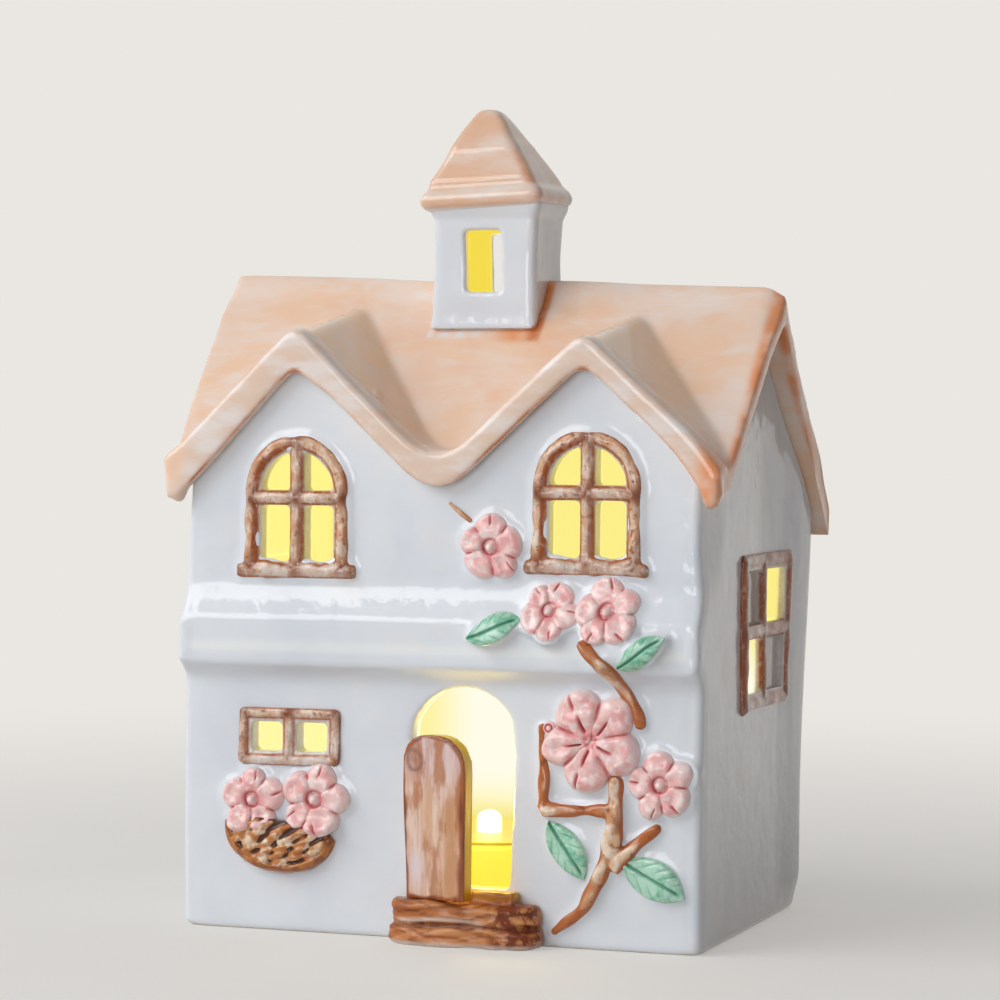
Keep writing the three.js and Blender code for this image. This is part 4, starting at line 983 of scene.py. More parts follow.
shell, shell_faces = part_of("house_walls")
shell[:, 2] += 1.1 * smoothstep(83, 87, shell[:, 2])
walls = pour("glazed_walls", [(shell, shell_faces)] + pads, 0.55, 6)
where = points_of(walls)
x, y, z = where.T
behind_leaf = smoothstep(-7.5, -6, x) * smoothstep(1, -2, x)
behind_leaf = behind_leaf * smoothstep(41, 39.6, z) * smoothstep(31, 37, z)
where[:, 2] -= 2.4 * behind_leaf * (y < -28)
side_on = np.clip((np.abs(x) - half_width + 3) / 3, 0, 1.1)
front_on = np.clip((-y - half_depth - swell(z) + 3) / 3, 0, 1.1)
reach = np.hypot(side_on, front_on) + 1e-6
crisp = ((side_on / reach) ** 4 + (front_on / reach) ** 4 + 1e-9) ** -0.25 - 1
crisp *= (side_on > 0) & (front_on > 0)
where[:, 0] += np.sign(x) * 3 * side_on * crisp
where[:, 1] -= 3 * front_on * crisp
set_points(walls, where)
depth = depth_in_walls(where)
side_low, side_high = span("right_side_window")
by_side_window = (np.abs(where[:, 0]) > 46) & (where[:, 2] > side_low[2]) & (where[:, 2] < side_high[2]) \
    & (np.abs(where[:, 1]) < side_high[1] + 2)
paint(walls, "lit", np.where(by_side_window, smoothstep(0.4, 1.6, depth), smoothstep(1.8, 4.2, depth)))
paint(walls, "hollow", hollows(walls))
settle(walls, "house", "house_walls", [white_glaze, bare_clay])
heights = np.array([face.center.z for face in walls.data.polygons]) / MM
walls.data.polygons.foreach_set("material_index", (heights < 0.35).astype(int))

# %% [markdown]
# ## Roof
# The roof was modelled in clay by hand: two dormer gables grow out of the main slope, and a thick
# rim runs along the front. It is poured from its CAD solid, with small balls of clay that round
# the tips, and the rim is widened to the left as on the real one. Its slopes are also written as
# heights over x and y, because the brush marks are measured from them.

# %% Roof slopes
roof_low, roof_high = span("main_roof")
RIDGE_Y, RIDGE_Z = 0.5, roof_high[2]
FRONT_SLOPE, REAR_SLOPE = np.tan(np.radians([46.7, 49.5]))
DORMER_X, DORMER_SLOPE, DORMER_CLIMB = 28.8, np.tan(np.radians(42.5)), np.tan(np.radians(9.5))
DORMER_Z = 114.3
RIM = 4.6  # depth of the raised rim along the front, mm


def main_height(y):
    return RIDGE_Z - np.where(y < RIDGE_Y, (RIDGE_Y - y) * FRONT_SLOPE, (y - RIDGE_Y) * REAR_SLOPE)


def dormer_height(x, y):
    """Height of the dormers' outer face, with the valley between them rounded."""
    side = np.abs(np.abs(x) - DORMER_X)
    slope = DORMER_Z - DORMER_SLOPE * np.sqrt(side ** 2 + 1.6)
    valley = 89.1 + np.sqrt((x / 1.1) ** 2 + 20) - np.sqrt(20)
    return np.where(np.abs(x) < 9, np.maximum(slope, valley), slope) + DORMER_CLIMB * (y - roof_low[1])


def nose(centre, radii):
    """A closed ball of clay that rounds off a tip of the roof."""
    turns, rows = 16, np.linspace(0.15, np.pi - 0.15, 9)
    angle = np.linspace(0, 2 * np.pi, turns, endpoint=False)
    rings = [np.stack([np.sin(row) * np.cos(angle), np.sin(row) * np.sin(angle), np.cos(row) + 0 * angle], -1)
             for row in rows]
    ball = np.concatenate(rings + [[[0, 0, 1], [0, 0, -1]]])
    return centre + ball * radii, [face[::-1] for face in disc_faces(len(rows), turns)]


print("roof over the middle of the front:", dormer_height(0.0, roof_low[1]).round(1), "mm high")

# %% Roof
roof = pour("peach_roof", [part_of("main_roof"), nose([-54.3, -36.5, 87.6], [2.3, 2.3, 2.6]),
                            nose([54.4, -37.0, 87.2], [2.1, 1.9, 2.7])], 0.6, 7)
where = points_of(roof)
x, y, z = where.T
over_dormer = z - dormer_height(x, y)
widening = 1.4 * smoothstep(-20, -27, x) + 1.9 * np.clip((-29 - x) / 24, 0, 1)
widening -= 1.4 * smoothstep(-53, -55.7, x)
rim_back = roof_low[1] + RIM
widening *= smoothstep(-0.8, -4.2, over_dormer) * smoothstep(rim_back + 1, rim_back - 1, y)
where[:, 2] += 0.7 * smoothstep(5, 1, np.abs(y - RIDGE_Y)) * smoothstep(118, 122, z) - widening
set_points(roof, where)
print("rim widened by up to", widening.max().round(2), "mm")

# %% [markdown]
# ## Brush marks on the roof
# The painter went over the dormers' right slopes with tan, left the barge rim pale, drew a brown
# line under it and drew orange along the eave, the right verge and the tower's foot. The tan is
# partly painted shade, for slopes that face away from the light. Painting these by hand in Blender
# would be lost when the skin is poured again, so each mark is a distance from a slope, the rim, a
# verge or the foot.

# %% Brush marks on the roof
on_dormer = smoothstep(-2.2, -0.8, over_dormer) * smoothstep(0.6, -0.4, main_height(y) - dormer_height(x, y))
behind_rim = smoothstep(rim_back - 0.6, rim_back + 0.6, y)
past = np.where(x > 0, x - DORMER_X, x + DORMER_X)
right_slope = smoothstep(-0.5, 1.0, past) * smoothstep(26, 8, np.abs(past)) * (np.abs(past) < 28)
# Painted shade, in part: tan on the dormers' right slopes, which face away from the light.
paint(roof, "tan", on_dormer * behind_rim * right_slope)
front = smoothstep(rim_back + 0.4, rim_back - 0.5, y)
upright = smoothstep(-0.6, -0.2, normals_of(roof)[:, 2])
paint(roof, "rim", front * upright * smoothstep(53.5, 49.5, np.abs(x)))
low_edge = smoothstep(roof_low[1] + 1.2, roof_low[1] + 0.4, y) * smoothstep(-4.2, -5.0, over_dormer)
low_edge *= smoothstep(-53.5, -50, x)
high_edge = np.exp(-((y - rim_back) / 0.35) ** 2) * smoothstep(-1.5, 0, over_dormer)
left_slope = np.where(past < 1.5, 1.0, 0.35)
tower_low, tower_high = span("tower")
FOOT_X, FOOT_Y, FOOT_HALF_WIDTH, FOOT_HALF_DEPTH = -1.3, -0.1, 10.7, 9.0  # the tower's foot, mm
from_tower = np.maximum(np.abs(x - FOOT_X) - FOOT_HALF_WIDTH, np.abs(y - FOOT_Y) - FOOT_HALF_DEPTH)
beside_tower = smoothstep(2.2, 0.6, from_tower)
right_foot = smoothstep(1.8, 0.8, from_tower) * smoothstep(7, 9.5, x)
lines = low_edge * left_slope + high_edge * right_slope + right_foot * (y < 9)
paint(roof, "line", np.clip(lines, 0, 1))
verge = smoothstep(54, 56, np.abs(x)) * smoothstep(0, 0.5, np.abs(x) - 52)
tip = smoothstep(46, 55, x) * smoothstep(-30, -37, y)
eave = 0.6 * smoothstep(35.5, 38.7, y)
edges = verge * (x > 0) + eave + tip + beside_tower * smoothstep(-2, 8, x)
paint(roof, "edge", np.clip(edges, 0, 1))
inside = (np.abs(x) < 49) & (y < 33) & (y > -34)
under = main_height(y) - z
under = np.where(y < 0, np.maximum(under, -over_dormer), under)
under_tower = smoothstep(-1.2, -2.0, from_tower)
paint(roof, "lit", np.maximum(smoothstep(2.2, 4.2, under) * inside, under_tower))
paint(roof, "hollow", hollows(roof))
glaze_run = smoothstep(1.0, 0.2, from_tower) * smoothstep(3, -5, x) * smoothstep(-8, -9, y)
paint(roof, "white", glaze_run * (0.5 + 0.3 * np.sin(1.9 * x)))
settle(roof, "house", "main_roof", [peach_glaze])

# %% [markdown]
# ## Tower
# A square tower sits astride the ridge. It flares a little at both ends, where wet clay was
# pressed together, and that is a bend of its points by height. The corners of its foot are pushed
# into the roof, because softening draws them back and would open a gap.

# %% Tower
MIDDLE = (tower_low + tower_high)[:2] / 2
TOWER_HALF = (tower_high - tower_low)[:2] / 2


def off_tower(points):
    """Distance out from the tower's middle, as a share of its half width and half depth."""
    return np.max(np.abs(points[:, :2] - MIDDLE) / TOWER_HALF, 1)


tower = pour("glazed_tower", [part_of("tower")], 0.42, 5)
where = points_of(tower)
x, y, z = where.T
top = tower_high[2]
flare = 1.0 * smoothstep(top - 3.2, top, z) + 0.5 * smoothstep(119, 114, z)
flare -= 0.3 * smoothstep(9, 0, np.abs(z - 129))
share = off_tower(where)
outward = flare * smoothstep(0.8, 0.95, share) / np.maximum(share, 0.5)
where[:, :2] += (where[:, :2] - MIDDLE) / TOWER_HALF * outward[:, None]
where[:, 2] += 0.7 * smoothstep(top - 2, top, z)
where[:, 0] -= 0.6 + 0.3 * smoothstep(0.5, 0.9, (MIDDLE[0] - x) / TOWER_HALF[0])
where[:, 2] -= 1.4 * smoothstep(2.4, 0.6, z - main_height(y)) * smoothstep(9.0, 7.6, np.abs(y))
set_points(tower, where)
paint(tower, "lit", smoothstep(0.90, 0.74, share))
right_face = smoothstep(0.7, 0.9, (x - MIDDLE[0]) / TOWER_HALF[0])
paint(tower, "line", smoothstep(1.7, 0.5, z - main_height(y)) * right_face)
paint(tower, "hollow", hollows(tower))
settle(tower, "house", "tower", [white_glaze])

# %% [markdown]
# ## Cap
# The pyramid cap has a rounded rim, bulging slopes and a blunt tip that leans to the left. A cone
# with four sides would have straight hips, so its solid is poured with a ball at the tip and then
# pushed out. Its right slope, turned away from the light, is made darker by painted shade.

# %% Cap
CAP_RIM = 3.8  # height of the cap's rim, mm
cap_low, cap_high = span("tower_cap")
cap = pour("peach_cap", [part_of("tower_cap"), nose([*MIDDLE, cap_high[2] - 2.2], [2, 2, 2.3])], 0.42, 6)
rim_top = cap_low[2] + CAP_RIM
cap_half = (cap_high - cap_low)[:2] / 2
where = points_of(cap)
x, y, z = where.T
climb = np.clip((z - rim_top) / (cap_high[2] - rim_top), 0, 1)
across = (x - MIDDLE[0]) / (cap_half[0] * (1 - climb) + 1.5 * climb)
deep = (y - MIDDLE[1]) / (cap_half[1] * (1 - climb) + 1.5 * climb)
blunt = 1.05 * smoothstep(rim_top - 1, rim_top + 2, z) * (1 - 0.8 * smoothstep(152, 160, z))
above_foot = smoothstep(cap_low[2] + 1.6, cap_low[2] + 2.6, z)
paint(cap, "rim", 0.55 * smoothstep(rim_top + 0.2, rim_top - 0.8, z) * above_foot)
hip = smoothstep(0.22, 0.02, np.abs(across + deep)) * (across > 0.2) * (deep < -0.2)
paint(cap, "edge", hip * smoothstep(rim_top - 0.5, rim_top + 0.5, z) * smoothstep(158, 150, z))
corner = smoothstep(0.7, 0.95, across) * smoothstep(-0.7, -0.95, deep)
above_lip = smoothstep(cap_low[2] + 0.8, cap_low[2] + 1.6, z)
paint(cap, "line", 0.6 * corner * smoothstep(rim_top, rim_top - 1, z) * above_lip)
paint(cap, "white", smoothstep(cap_low[2] + 0.7, cap_low[2] + 0.2, z))
paint(cap, "lit", smoothstep(0.92, 0.75, off_tower(where)) * smoothstep(142.4, 141.6, z))
paint(cap, "hollow", hollows(cap))
# Painted shade: darker towards the cap's right slope, on top of its own darker strokes.
paint(cap, "shade", 0.55 + 0.45 * smoothstep(-0.2, 0.6, across + deep))
bulge = 0.35 * np.exp(-((z - rim_top + 2.0) / 1.4) ** 2)
where[:, 0] += (blunt + bulge) * np.clip(across, -1, 1) - 1.2 - 1.5 * smoothstep(146, cap_high[2], z)
where[:, 0] -= 0.8 * smoothstep(0.2, 0.9, across) * smoothstep(143, 146, z) * smoothstep(158, 153, z)
where[:, 1] += (blunt + bulge) * np.clip(deep, -1, 1)
where[:, 2] -= 0.28 * np.clip(rim_top - z, 0, None)
where[:, 2] += 0.05 * (x - MIDDLE[0]) + 0.2 + 0.8 * smoothstep(150, 157, z)
over = np.clip(where[:, 2] - cap_high[2] + 1.3, 0, None)
where[:, 2] += 1.25 * (1 - np.exp(-over / 1.25)) - over
set_points(cap, where)
settle(cap, "house", "tower_cap", [peach_glaze])

# %% [markdown]
# ## Blossoms
# Each blossom is pressed from a small mould: five puffed petals that meet in narrow grooves around
# a bead. Sculpting it would give one fixed flower; a height field over its outline, with its own
# random tilt and size of petal, gives seven different ones. The number `groove` follows the
# grooves, where the pink pools dark. Six blossoms have a bead with a ring for an eye, and the
# large one has slits. Lengths here are shares of the blossom's radius.

# %% Eyes of the blossoms


def with_bead(radius, angle, peak, height, dark, pale):
    """A round bead in a dark ring, in the middle of a blossom."""
    drop = 0.18 * (1 + 0.14 * np.sin(angle))
    ball = np.sqrt(np.clip(1 - (radius / drop) ** 2, 0, 1)) * peak * 1.05
    ring = np.exp(-((radius - drop * 1.2) / 0.034) ** 2) * (0.8 - 0.3 * np.cos(angle - 0.5))
    height = np.where(radius < drop, np.maximum(height * 0.5, ball), height * (1 - 0.5 * ring))
    dark = np.maximum(dark, ring * (radius > 0.96 * drop))
    dark = np.maximum(dark, 0.3 * smoothstep(0.42, 0.25, radius) * (radius > drop))
    return height, dark, np.maximum(pale, 0.45 * smoothstep(drop, 0.6 * drop, radius))


def with_slits(radius, u, v, which, size, peak, height, dark):
    """A slit along each petal and a low eye, in the middle of the open blossom."""
    slit = np.exp(-((v - 0.03 * np.sin(5 * u + which)) / 0.024) ** 2)
    slit = slit * smoothstep(0.14, 0.22, u) * smoothstep(0.58, 0.40, u)
    height = height - (0.10 * size * slit + 0.16 * peak * smoothstep(0.2, 0.02, radius))
    dark = np.maximum(dark, 0.95 * slit)
    eye = 0.5 * smoothstep(0.20, 0.10, radius) * smoothstep(0.04, 0.10, radius)
    return height, np.maximum(dark, eye)


print("half angle of a petal in radians:", round(FIFTH / 2, 3))

# %% [markdown]
# ## Petals
# The outline of five circles gives the petals. Each ring of points lies at one share of the way
# from the middle to that outline, and its height comes from how far across its petal a point is:
# full in the middle, low at the groove. Small lumps and a nick in some rims keep it hand-made.

# %% Petals


def blossom(name, turn, petal, cut, seed, bead=True):
    """Five puffed petals; the grooves between them begin at the share `cut` of the radius."""
    x, z, size = spot(name)
    rng = np.random.default_rng(seed)
    sectors, shares = 200, np.linspace(0.02, 1, 36)
    angle = np.linspace(0, 2 * np.pi, sectors, endpoint=False)
    bent = angle + 0.07 * np.sin(2 * angle + rng.uniform(0, 6)) + 0.05 * np.sin(3 * angle + rng.uniform(0, 6))
    which = np.round((bent - np.radians(turn)) / FIFTH).astype(int) % 5
    off = (bent - np.radians(turn) + FIFTH / 2) % FIFTH - FIFTH / 2
    grow, tall = rng.uniform(0.93, 1.05, 5), rng.uniform(0.85, 1.1, 5)
    edge = blossom_reach(bent, turn, petal) * (1 + (grow[which] - 1) * np.cos(off * 2.5) ** 2)
    deep, tilt, nicked = rng.uniform(0.6, 1, 5), rng.uniform(-1, 1, 5), rng.uniform(0, 1, 5) > 0.55
    peak = 0.34 * size
    rings, groove, paleness = [], [], []
    for share in shares:
        radius = share * edge
        u, v = radius * np.cos(off), radius * np.sin(off)
        outer = np.sqrt(np.clip(petal[1] ** 2 - (u - petal[0]) ** 2, 1e-4, None))
        half = np.tan(FIFTH / 2) * u
        half = np.where(u > petal[0], np.minimum(outer, half), half)
        across = np.clip(np.abs(v) / np.maximum(half, 1e-3), 0, 1)
        apart = smoothstep(cut, cut + 0.16, radius)
        dome = 1 - (1 - np.sqrt(1 - np.minimum(across, 0.999) ** 4)) * (0.2 + 0.8 * apart)
        rim = np.sqrt(np.clip(1 - share ** 6, 0, 1))
        puff = 0.80 + 0.20 * smoothstep(0.15, 0.55, u)
        height = peak * tall[which] * (0.25 + 0.75 * dome) * (0.2 + 0.8 * rim) * puff
        lumps = np.sin(9 * u + 5 * v + 2 * which) * np.sin(8 * v - 4 * u + which)
        height += peak * (0.10 * lumps - 0.16 * np.exp(-((u - 0.60) ** 2 + v ** 2) / 0.035)) * rim
        deeper = 0.45 + 0.55 * smoothstep(0.6, 0.8, share)
        dark = apart * smoothstep(0.84, 1.0, across) * deeper * deep[which]
        nick = np.exp(-((v - 0.2 * tilt[which]) / 0.022) ** 2) * smoothstep(0.6, 0.72, share) * nicked[which]
        height -= 0.35 * peak * nick * rim
        dark = np.maximum(dark, nick)
        pale = smoothstep(0.86, 1.0, share) + 0 * angle
        if bead:
            height, dark, pale = with_bead(radius, angle, peak, height, dark, pale)
        else:
            height, dark = with_slits(radius, u, v, which, size, peak, height, dark)
        up = z + size * radius * np.sin(angle)
        if name.startswith("basket"):
            height += 1.9 * smoothstep(22.5, 19.5, up)
        rings.append(on_wall(x + size * radius * np.cos(angle), up, height))
        groove.append(dark)
        paleness.append(pale)
    foot = size * 1.02 * edge
    rings.append(on_wall(x + foot * np.cos(angle), z + foot * np.sin(angle), -0.4))
    groove.append(0 * angle)
    paleness.append(1 + 0 * angle)
    closing = np.array([rings[0].mean(0), on_wall(x, z, -0.4)])
    points = np.concatenate(rings + [closing])
    faces = [face[::-1] for face in disc_faces(len(rings), sectors)]
    groove = np.concatenate(groove + [[groove[0].mean(), 0]])
    return points, faces, groove, np.concatenate(paleness + [[0, 1]])


def bud(x, z, radius):
    """A small round bud with a ring around its eye."""
    angle = np.linspace(0, 2 * np.pi, 40, endpoint=False)
    shares = np.linspace(0.03, 1, 14)
    rings, groove = [], []
    for share in shares:
        height = 1.6 * np.sqrt(np.clip(1 - share ** 4, 0, 1)) - 0.5 * np.exp(-((share - 0.5) / 0.14) ** 2)
        rings.append(on_wall(x + share * radius * np.cos(angle), z + share * radius * np.sin(angle), height))
        groove.append(np.full(40, np.exp(-((share - 0.5) / 0.14) ** 2)))
    closing = np.array([rings[0].mean(0), on_wall(x, z, -0.4)])
    faces = [face[::-1] for face in disc_faces(len(rings), 40)]
    groove = np.concatenate(groove + [[0, 0]])
    return np.concatenate(rings + [closing]), faces, groove, 0 * groove


BUD = (22.4, 40.6, 1.35)  # x, z and radius, mm
for seed, (name, (turn, petal, cut)) in enumerate(BLOSSOMS.items()):
    parts = [blossom(name, turn, petal, cut, 11 + seed, bead=name != "blossom_large")]
    if name == "blossom_large":
        parts.append(bud(*BUD))
    piece = make_object(name + "_glazed", *join_parts([part[:2] for part in parts]))
    paint(piece, "groove", np.concatenate([part[2] for part in parts]))
    paint(piece, "white", np.concatenate([part[3] for part in parts]))
    settle(piece, "house", name, [pink_glaze])

# %% [markdown]
# ## Leaves
# A leaf is a cushion of clay with a midrib and side veins drawn with a needle. Veins could be bump
# in the glaze, but they have to hold their dark green too. So the leaf is a grid over its length
# and width, raised in the middle, cut along the veins and painted by the same numbers.

# %% Leaves


def leaf(name):
    """A leaf as a grid, s along it and t across it, both from -1 to 1."""
    x, z, length, width, turn = leaf_lie(name)
    rows, columns = 72, 35
    s, t = np.meshgrid(np.linspace(-1, 1, rows), np.linspace(-1, 1, columns), indexing="ij")
    half = 1.04 * width / 2 * (1 - np.abs(s) ** 2.1) ** 0.85 + 0.05
    along, across = length / 2 * s, half * t
    bend = 0.35 * np.sin(s * 2.2)
    rib = np.exp(-(across / 0.26) ** 2) * smoothstep(1.0, 0.7, s)
    chevron = np.abs(across) * 1.1 - along
    veins = np.exp(-(((chevron + 50) % 2.3 - 1.15) / 0.24) ** 2)
    veins *= smoothstep(0.2, 0.6, np.abs(t)) * smoothstep(1.0, 0.82, np.abs(t))
    veins *= smoothstep(0.95, 0.75, np.abs(s))
    height = 0.45 + 1.15 * np.sqrt(np.clip(1 - t ** 4, 0, 1)) * (1 - 0.45 * s ** 2)
    height -= 0.55 * rib + 0.16 * veins
    height += 0.25 * np.sin(s * 4 + t)
    height *= 0.8 * smoothstep(1.03, 0.9, np.abs(t)) + 0.2
    cosine, sine = np.cos(turn), np.sin(turn)
    flat = (x + along * cosine - (across + bend) * sine, z + along * sine + (across + bend) * cosine)
    top, base = on_wall(*flat, height), on_wall(*flat, -0.4 + 0 * s)
    grid = np.arange(rows * columns).reshape(rows, columns)
    quads = np.stack([grid[:-1, :-1], grid[1:, :-1], grid[1:, 1:], grid[:-1, 1:]], -1).reshape(-1, 4)
    border = np.concatenate([grid[0, :-1], grid[:-1, -1], grid[-1, :0:-1], grid[:0:-1, 0]])
    shift = rows * columns
    sides = [(a, a + shift, b + shift, b) for a, b in zip(border, np.roll(border, -1))]
    faces = quads.tolist() + (quads[:, ::-1] + shift).tolist() + sides
    points = np.concatenate([top.reshape(-1, 3), base.reshape(-1, 3)])
    piece = make_object(name + "_glazed", points, faces)
    drawn = np.clip(rib + 0.45 * veins, 0, 1).ravel()
    paint(piece, "groove", np.concatenate([drawn, np.zeros(shift)]))
    pale_rim = 0.7 * smoothstep(0.86, 1.0, np.abs(t)).ravel()
    paint(piece, "white", np.concatenate([pale_rim, np.ones(shift)]))
    return piece


for name in LEAVES:
    settle(leaf(name), "house", name, [green_glaze])

# %% [markdown]
# ## Branches
# Rolls of soft clay are pressed on the wall and joined with a wet finger. Smooth tubes would look
# machined, so each roll's radius wanders by a fifth, and all are poured to one skin.

# %% Branches
for seed, (name, lines) in enumerate(STEMS.items()):
    parts = [roll(line, uneven=0.22, seed=3 + seed + 7 * i) for i, line in enumerate(lines)]
    piece = pour(name + "_glazed", parts, 0.3 if name != "twig" else 0.2, 3)
    where = points_of(piece)
    lift = -half_depth - swell(where[:, 2]) - where[:, 1]
    paint(piece, "white", smoothstep(0.35, 0.05, lift))
    paint(piece, "edge", smoothstep(2.3, 1.1, lift) * (0.3 if name == "twig" else 1))
    settle(piece, "house", name, [branch_glaze])

# %% [markdown]
# ## Basket
# A half round basket hangs under the lower window. Its weave could be a bump pattern, but the
# strands stand out 1 mm and catch the light, so they are short rolls laid in slanted rows on a
# bowl, with a rim along the bottom.

# %% Basket
BASKET = np.array([-32.2, 18.9])
BASKET_HALF, BASKET_DEPTH, BASKET_TILT = 11.6, 7.6, np.radians(-7.5)


def bowl(x, z):
    """How far the basket's round body stands out from the wall."""
    dx, dz = x - BASKET[0], z - BASKET[1]
    across = dx * np.cos(BASKET_TILT) + dz * np.sin(BASKET_TILT)
    up = dz * np.cos(BASKET_TILT) - dx * np.sin(BASKET_TILT)
    share = np.hypot(across / BASKET_HALF, np.where(up < 0, up / BASKET_DEPTH, up / 8))
    return 2.6 * np.sqrt(np.clip(1 - np.minimum(share, 1) ** 2.4, 0, 1))


def in_basket(across, up):
    """A point of the basket's own tilted frame, on the wall."""
    return (BASKET[0] + across * np.cos(BASKET_TILT) - up * np.sin(BASKET_TILT),
            BASKET[1] + across * np.sin(BASKET_TILT) + up * np.cos(BASKET_TILT))


def on_bowl(x, z, height):
    """Points that stand out from the basket's body by `height`."""
    return on_wall(x, z, bowl(x, z) + height)


angles = np.linspace(0, 2 * np.pi, 72, endpoint=False)
reach_up = np.where(np.sin(angles) < 0, BASKET_DEPTH, 2.4)
outline = 1 / np.hypot(np.cos(angles) / BASKET_HALF, np.sin(angles) / reach_up)
rings = []
for share in np.linspace(0.04, 1, 16):
    fx, fz = in_basket(share * outline * np.cos(angles), share * outline * np.sin(angles))
    rings.append(on_wall(fx, fz, bowl(fx, fz) - 0.1))
fx, fz = in_basket(outline * np.cos(angles), outline * np.sin(angles))
rings.append(on_wall(fx, fz, -0.5))
closing = np.array([rings[0].mean(0), on_wall(*in_basket(0, 0), -0.5)])
parts = [(np.concatenate(rings + [closing]), [face[::-1] for face in disc_faces(len(rings), 72)])]
print("the basket stands out by", bowl(*BASKET).round(2), "mm")

# %% [markdown]
# ## Weave
# The strands lie in five rows, every other row shifted by half a strand, with a little chance in
# their length and slope. They are poured together with the bowl in small cells, so the gaps stay
# open and can take the dark stain.

# %% Weave
swing = np.radians(np.linspace(176, 364, 26))
rim_path = [(*in_basket((BASKET_HALF - 0.8) * np.cos(a), (BASKET_DEPTH - 0.7) * np.sin(a)),
             0.35 + 0.6 * abs(np.sin(a))) for a in swing]
parts.append(roll(rim_path, uneven=0.2, seed=2, lift=0.6, face=on_bowl))
rng = np.random.default_rng(5)
for row, up in enumerate((-5.6, -4.0, -2.4, -0.8, 0.8)):
    reach = BASKET_HALF * np.sqrt(max(0.0, 1 - (min(up, 0) / BASKET_DEPTH) ** 2)) - 1.0
    for start in np.arange(-reach, reach - 2.4, 3.3):
        start += rng.uniform(-0.5, 0.5) + 1.6 * (row % 2)
        run, rise = rng.uniform(3.2, 4.2), rng.uniform(1.5, 2.6)
        line = [(*in_basket(start, up - rise / 2), 0.35), (*in_basket(start + run / 2, up), 0.72),
                (*in_basket(start + run, up + rise / 2), 0.35)]
        parts.append(roll(line, uneven=0.2, seed=len(parts), lift=0.3, face=on_bowl))
basket = pour("woven_basket", parts, 0.24, 1)
where = points_of(basket)
proud = -half_depth - where[:, 1] - bowl(where[:, 0], where[:, 2])
nearest = np.full(len(where), 9.0)
for px, pz, _ in rim_path:
    nearest = np.minimum(nearest, np.hypot(where[:, 0] - px, where[:, 2] - pz))
on_rim = smoothstep(1.3, 0.7, nearest)
paint(basket, "edge", on_rim)
paint(basket, "groove", smoothstep(0.34, 0.10, proud) * (1 - on_rim))
paint(basket, "white", smoothstep(0.15, -0.1, -half_depth - where[:, 1]))
settle(basket, "house", "flower_basket", [basket_glaze])

# %% [markdown]
# ## Windows
# A casement is clay strips on a thin frame that fills the opening. The CAD solid gives the frame
# and its panes; rolls along the lines written above give the strips. All are poured together, and
# every point is painted by its distance from the nearest line. Strips copied from one mould would
# all be alike, so each roll has its own waves.

# %% Nearest strip


def nearest_strip(flat, lines, weights, worn):
    """For each x and z: distance to the nearest strip, side of it, wear, stain and painted shade.

    The distance is scaled so that it is STRIP at the strip's own side, however wide it is there.
    """
    nearest, wear, offset = np.full(len(flat), 9.0), np.zeros(len(flat)), np.zeros(len(flat))
    side_darkening = np.zeros(len(flat))
    for i, line in enumerate(lines):
        line = np.array(line)
        for a, b in zip(line[:-1], line[1:]):
            along = b[:2] - a[:2]
            share = np.clip((flat - a[:2]) @ along / (along @ along), 0, 1)
            off_line = flat - a[:2] - share[:, None] * along
            gap = np.hypot(*off_line.T)
            gap = gap * STRIP / (a[2] + share * (b[2] - a[2]))
            offset = np.where(gap < nearest, off_line @ [0.9, -0.45], offset)
            side_darkening = np.where(gap < nearest, weights[i], side_darkening)
            if worn:
                wear = np.where(gap < nearest, worn[i], wear)
            nearest = np.minimum(nearest, gap)
    return nearest, wear, offset, side_darkening


sample = nearest_strip(np.array([[0.0, 1.0]]), [[(-5, 0, STRIP), (5, 0, STRIP)]], (1.0,), ())
print("a point 1 mm above a strip's middle lies", sample[0].round(2), "mm from it")

# %% [markdown]
# ## Casements
# The stain is darkest round the joints. A strip's right and lower side, away from the light,
# gets painted shade in dark brown. Where the strip is worn, white clay shows.

# %% Casements


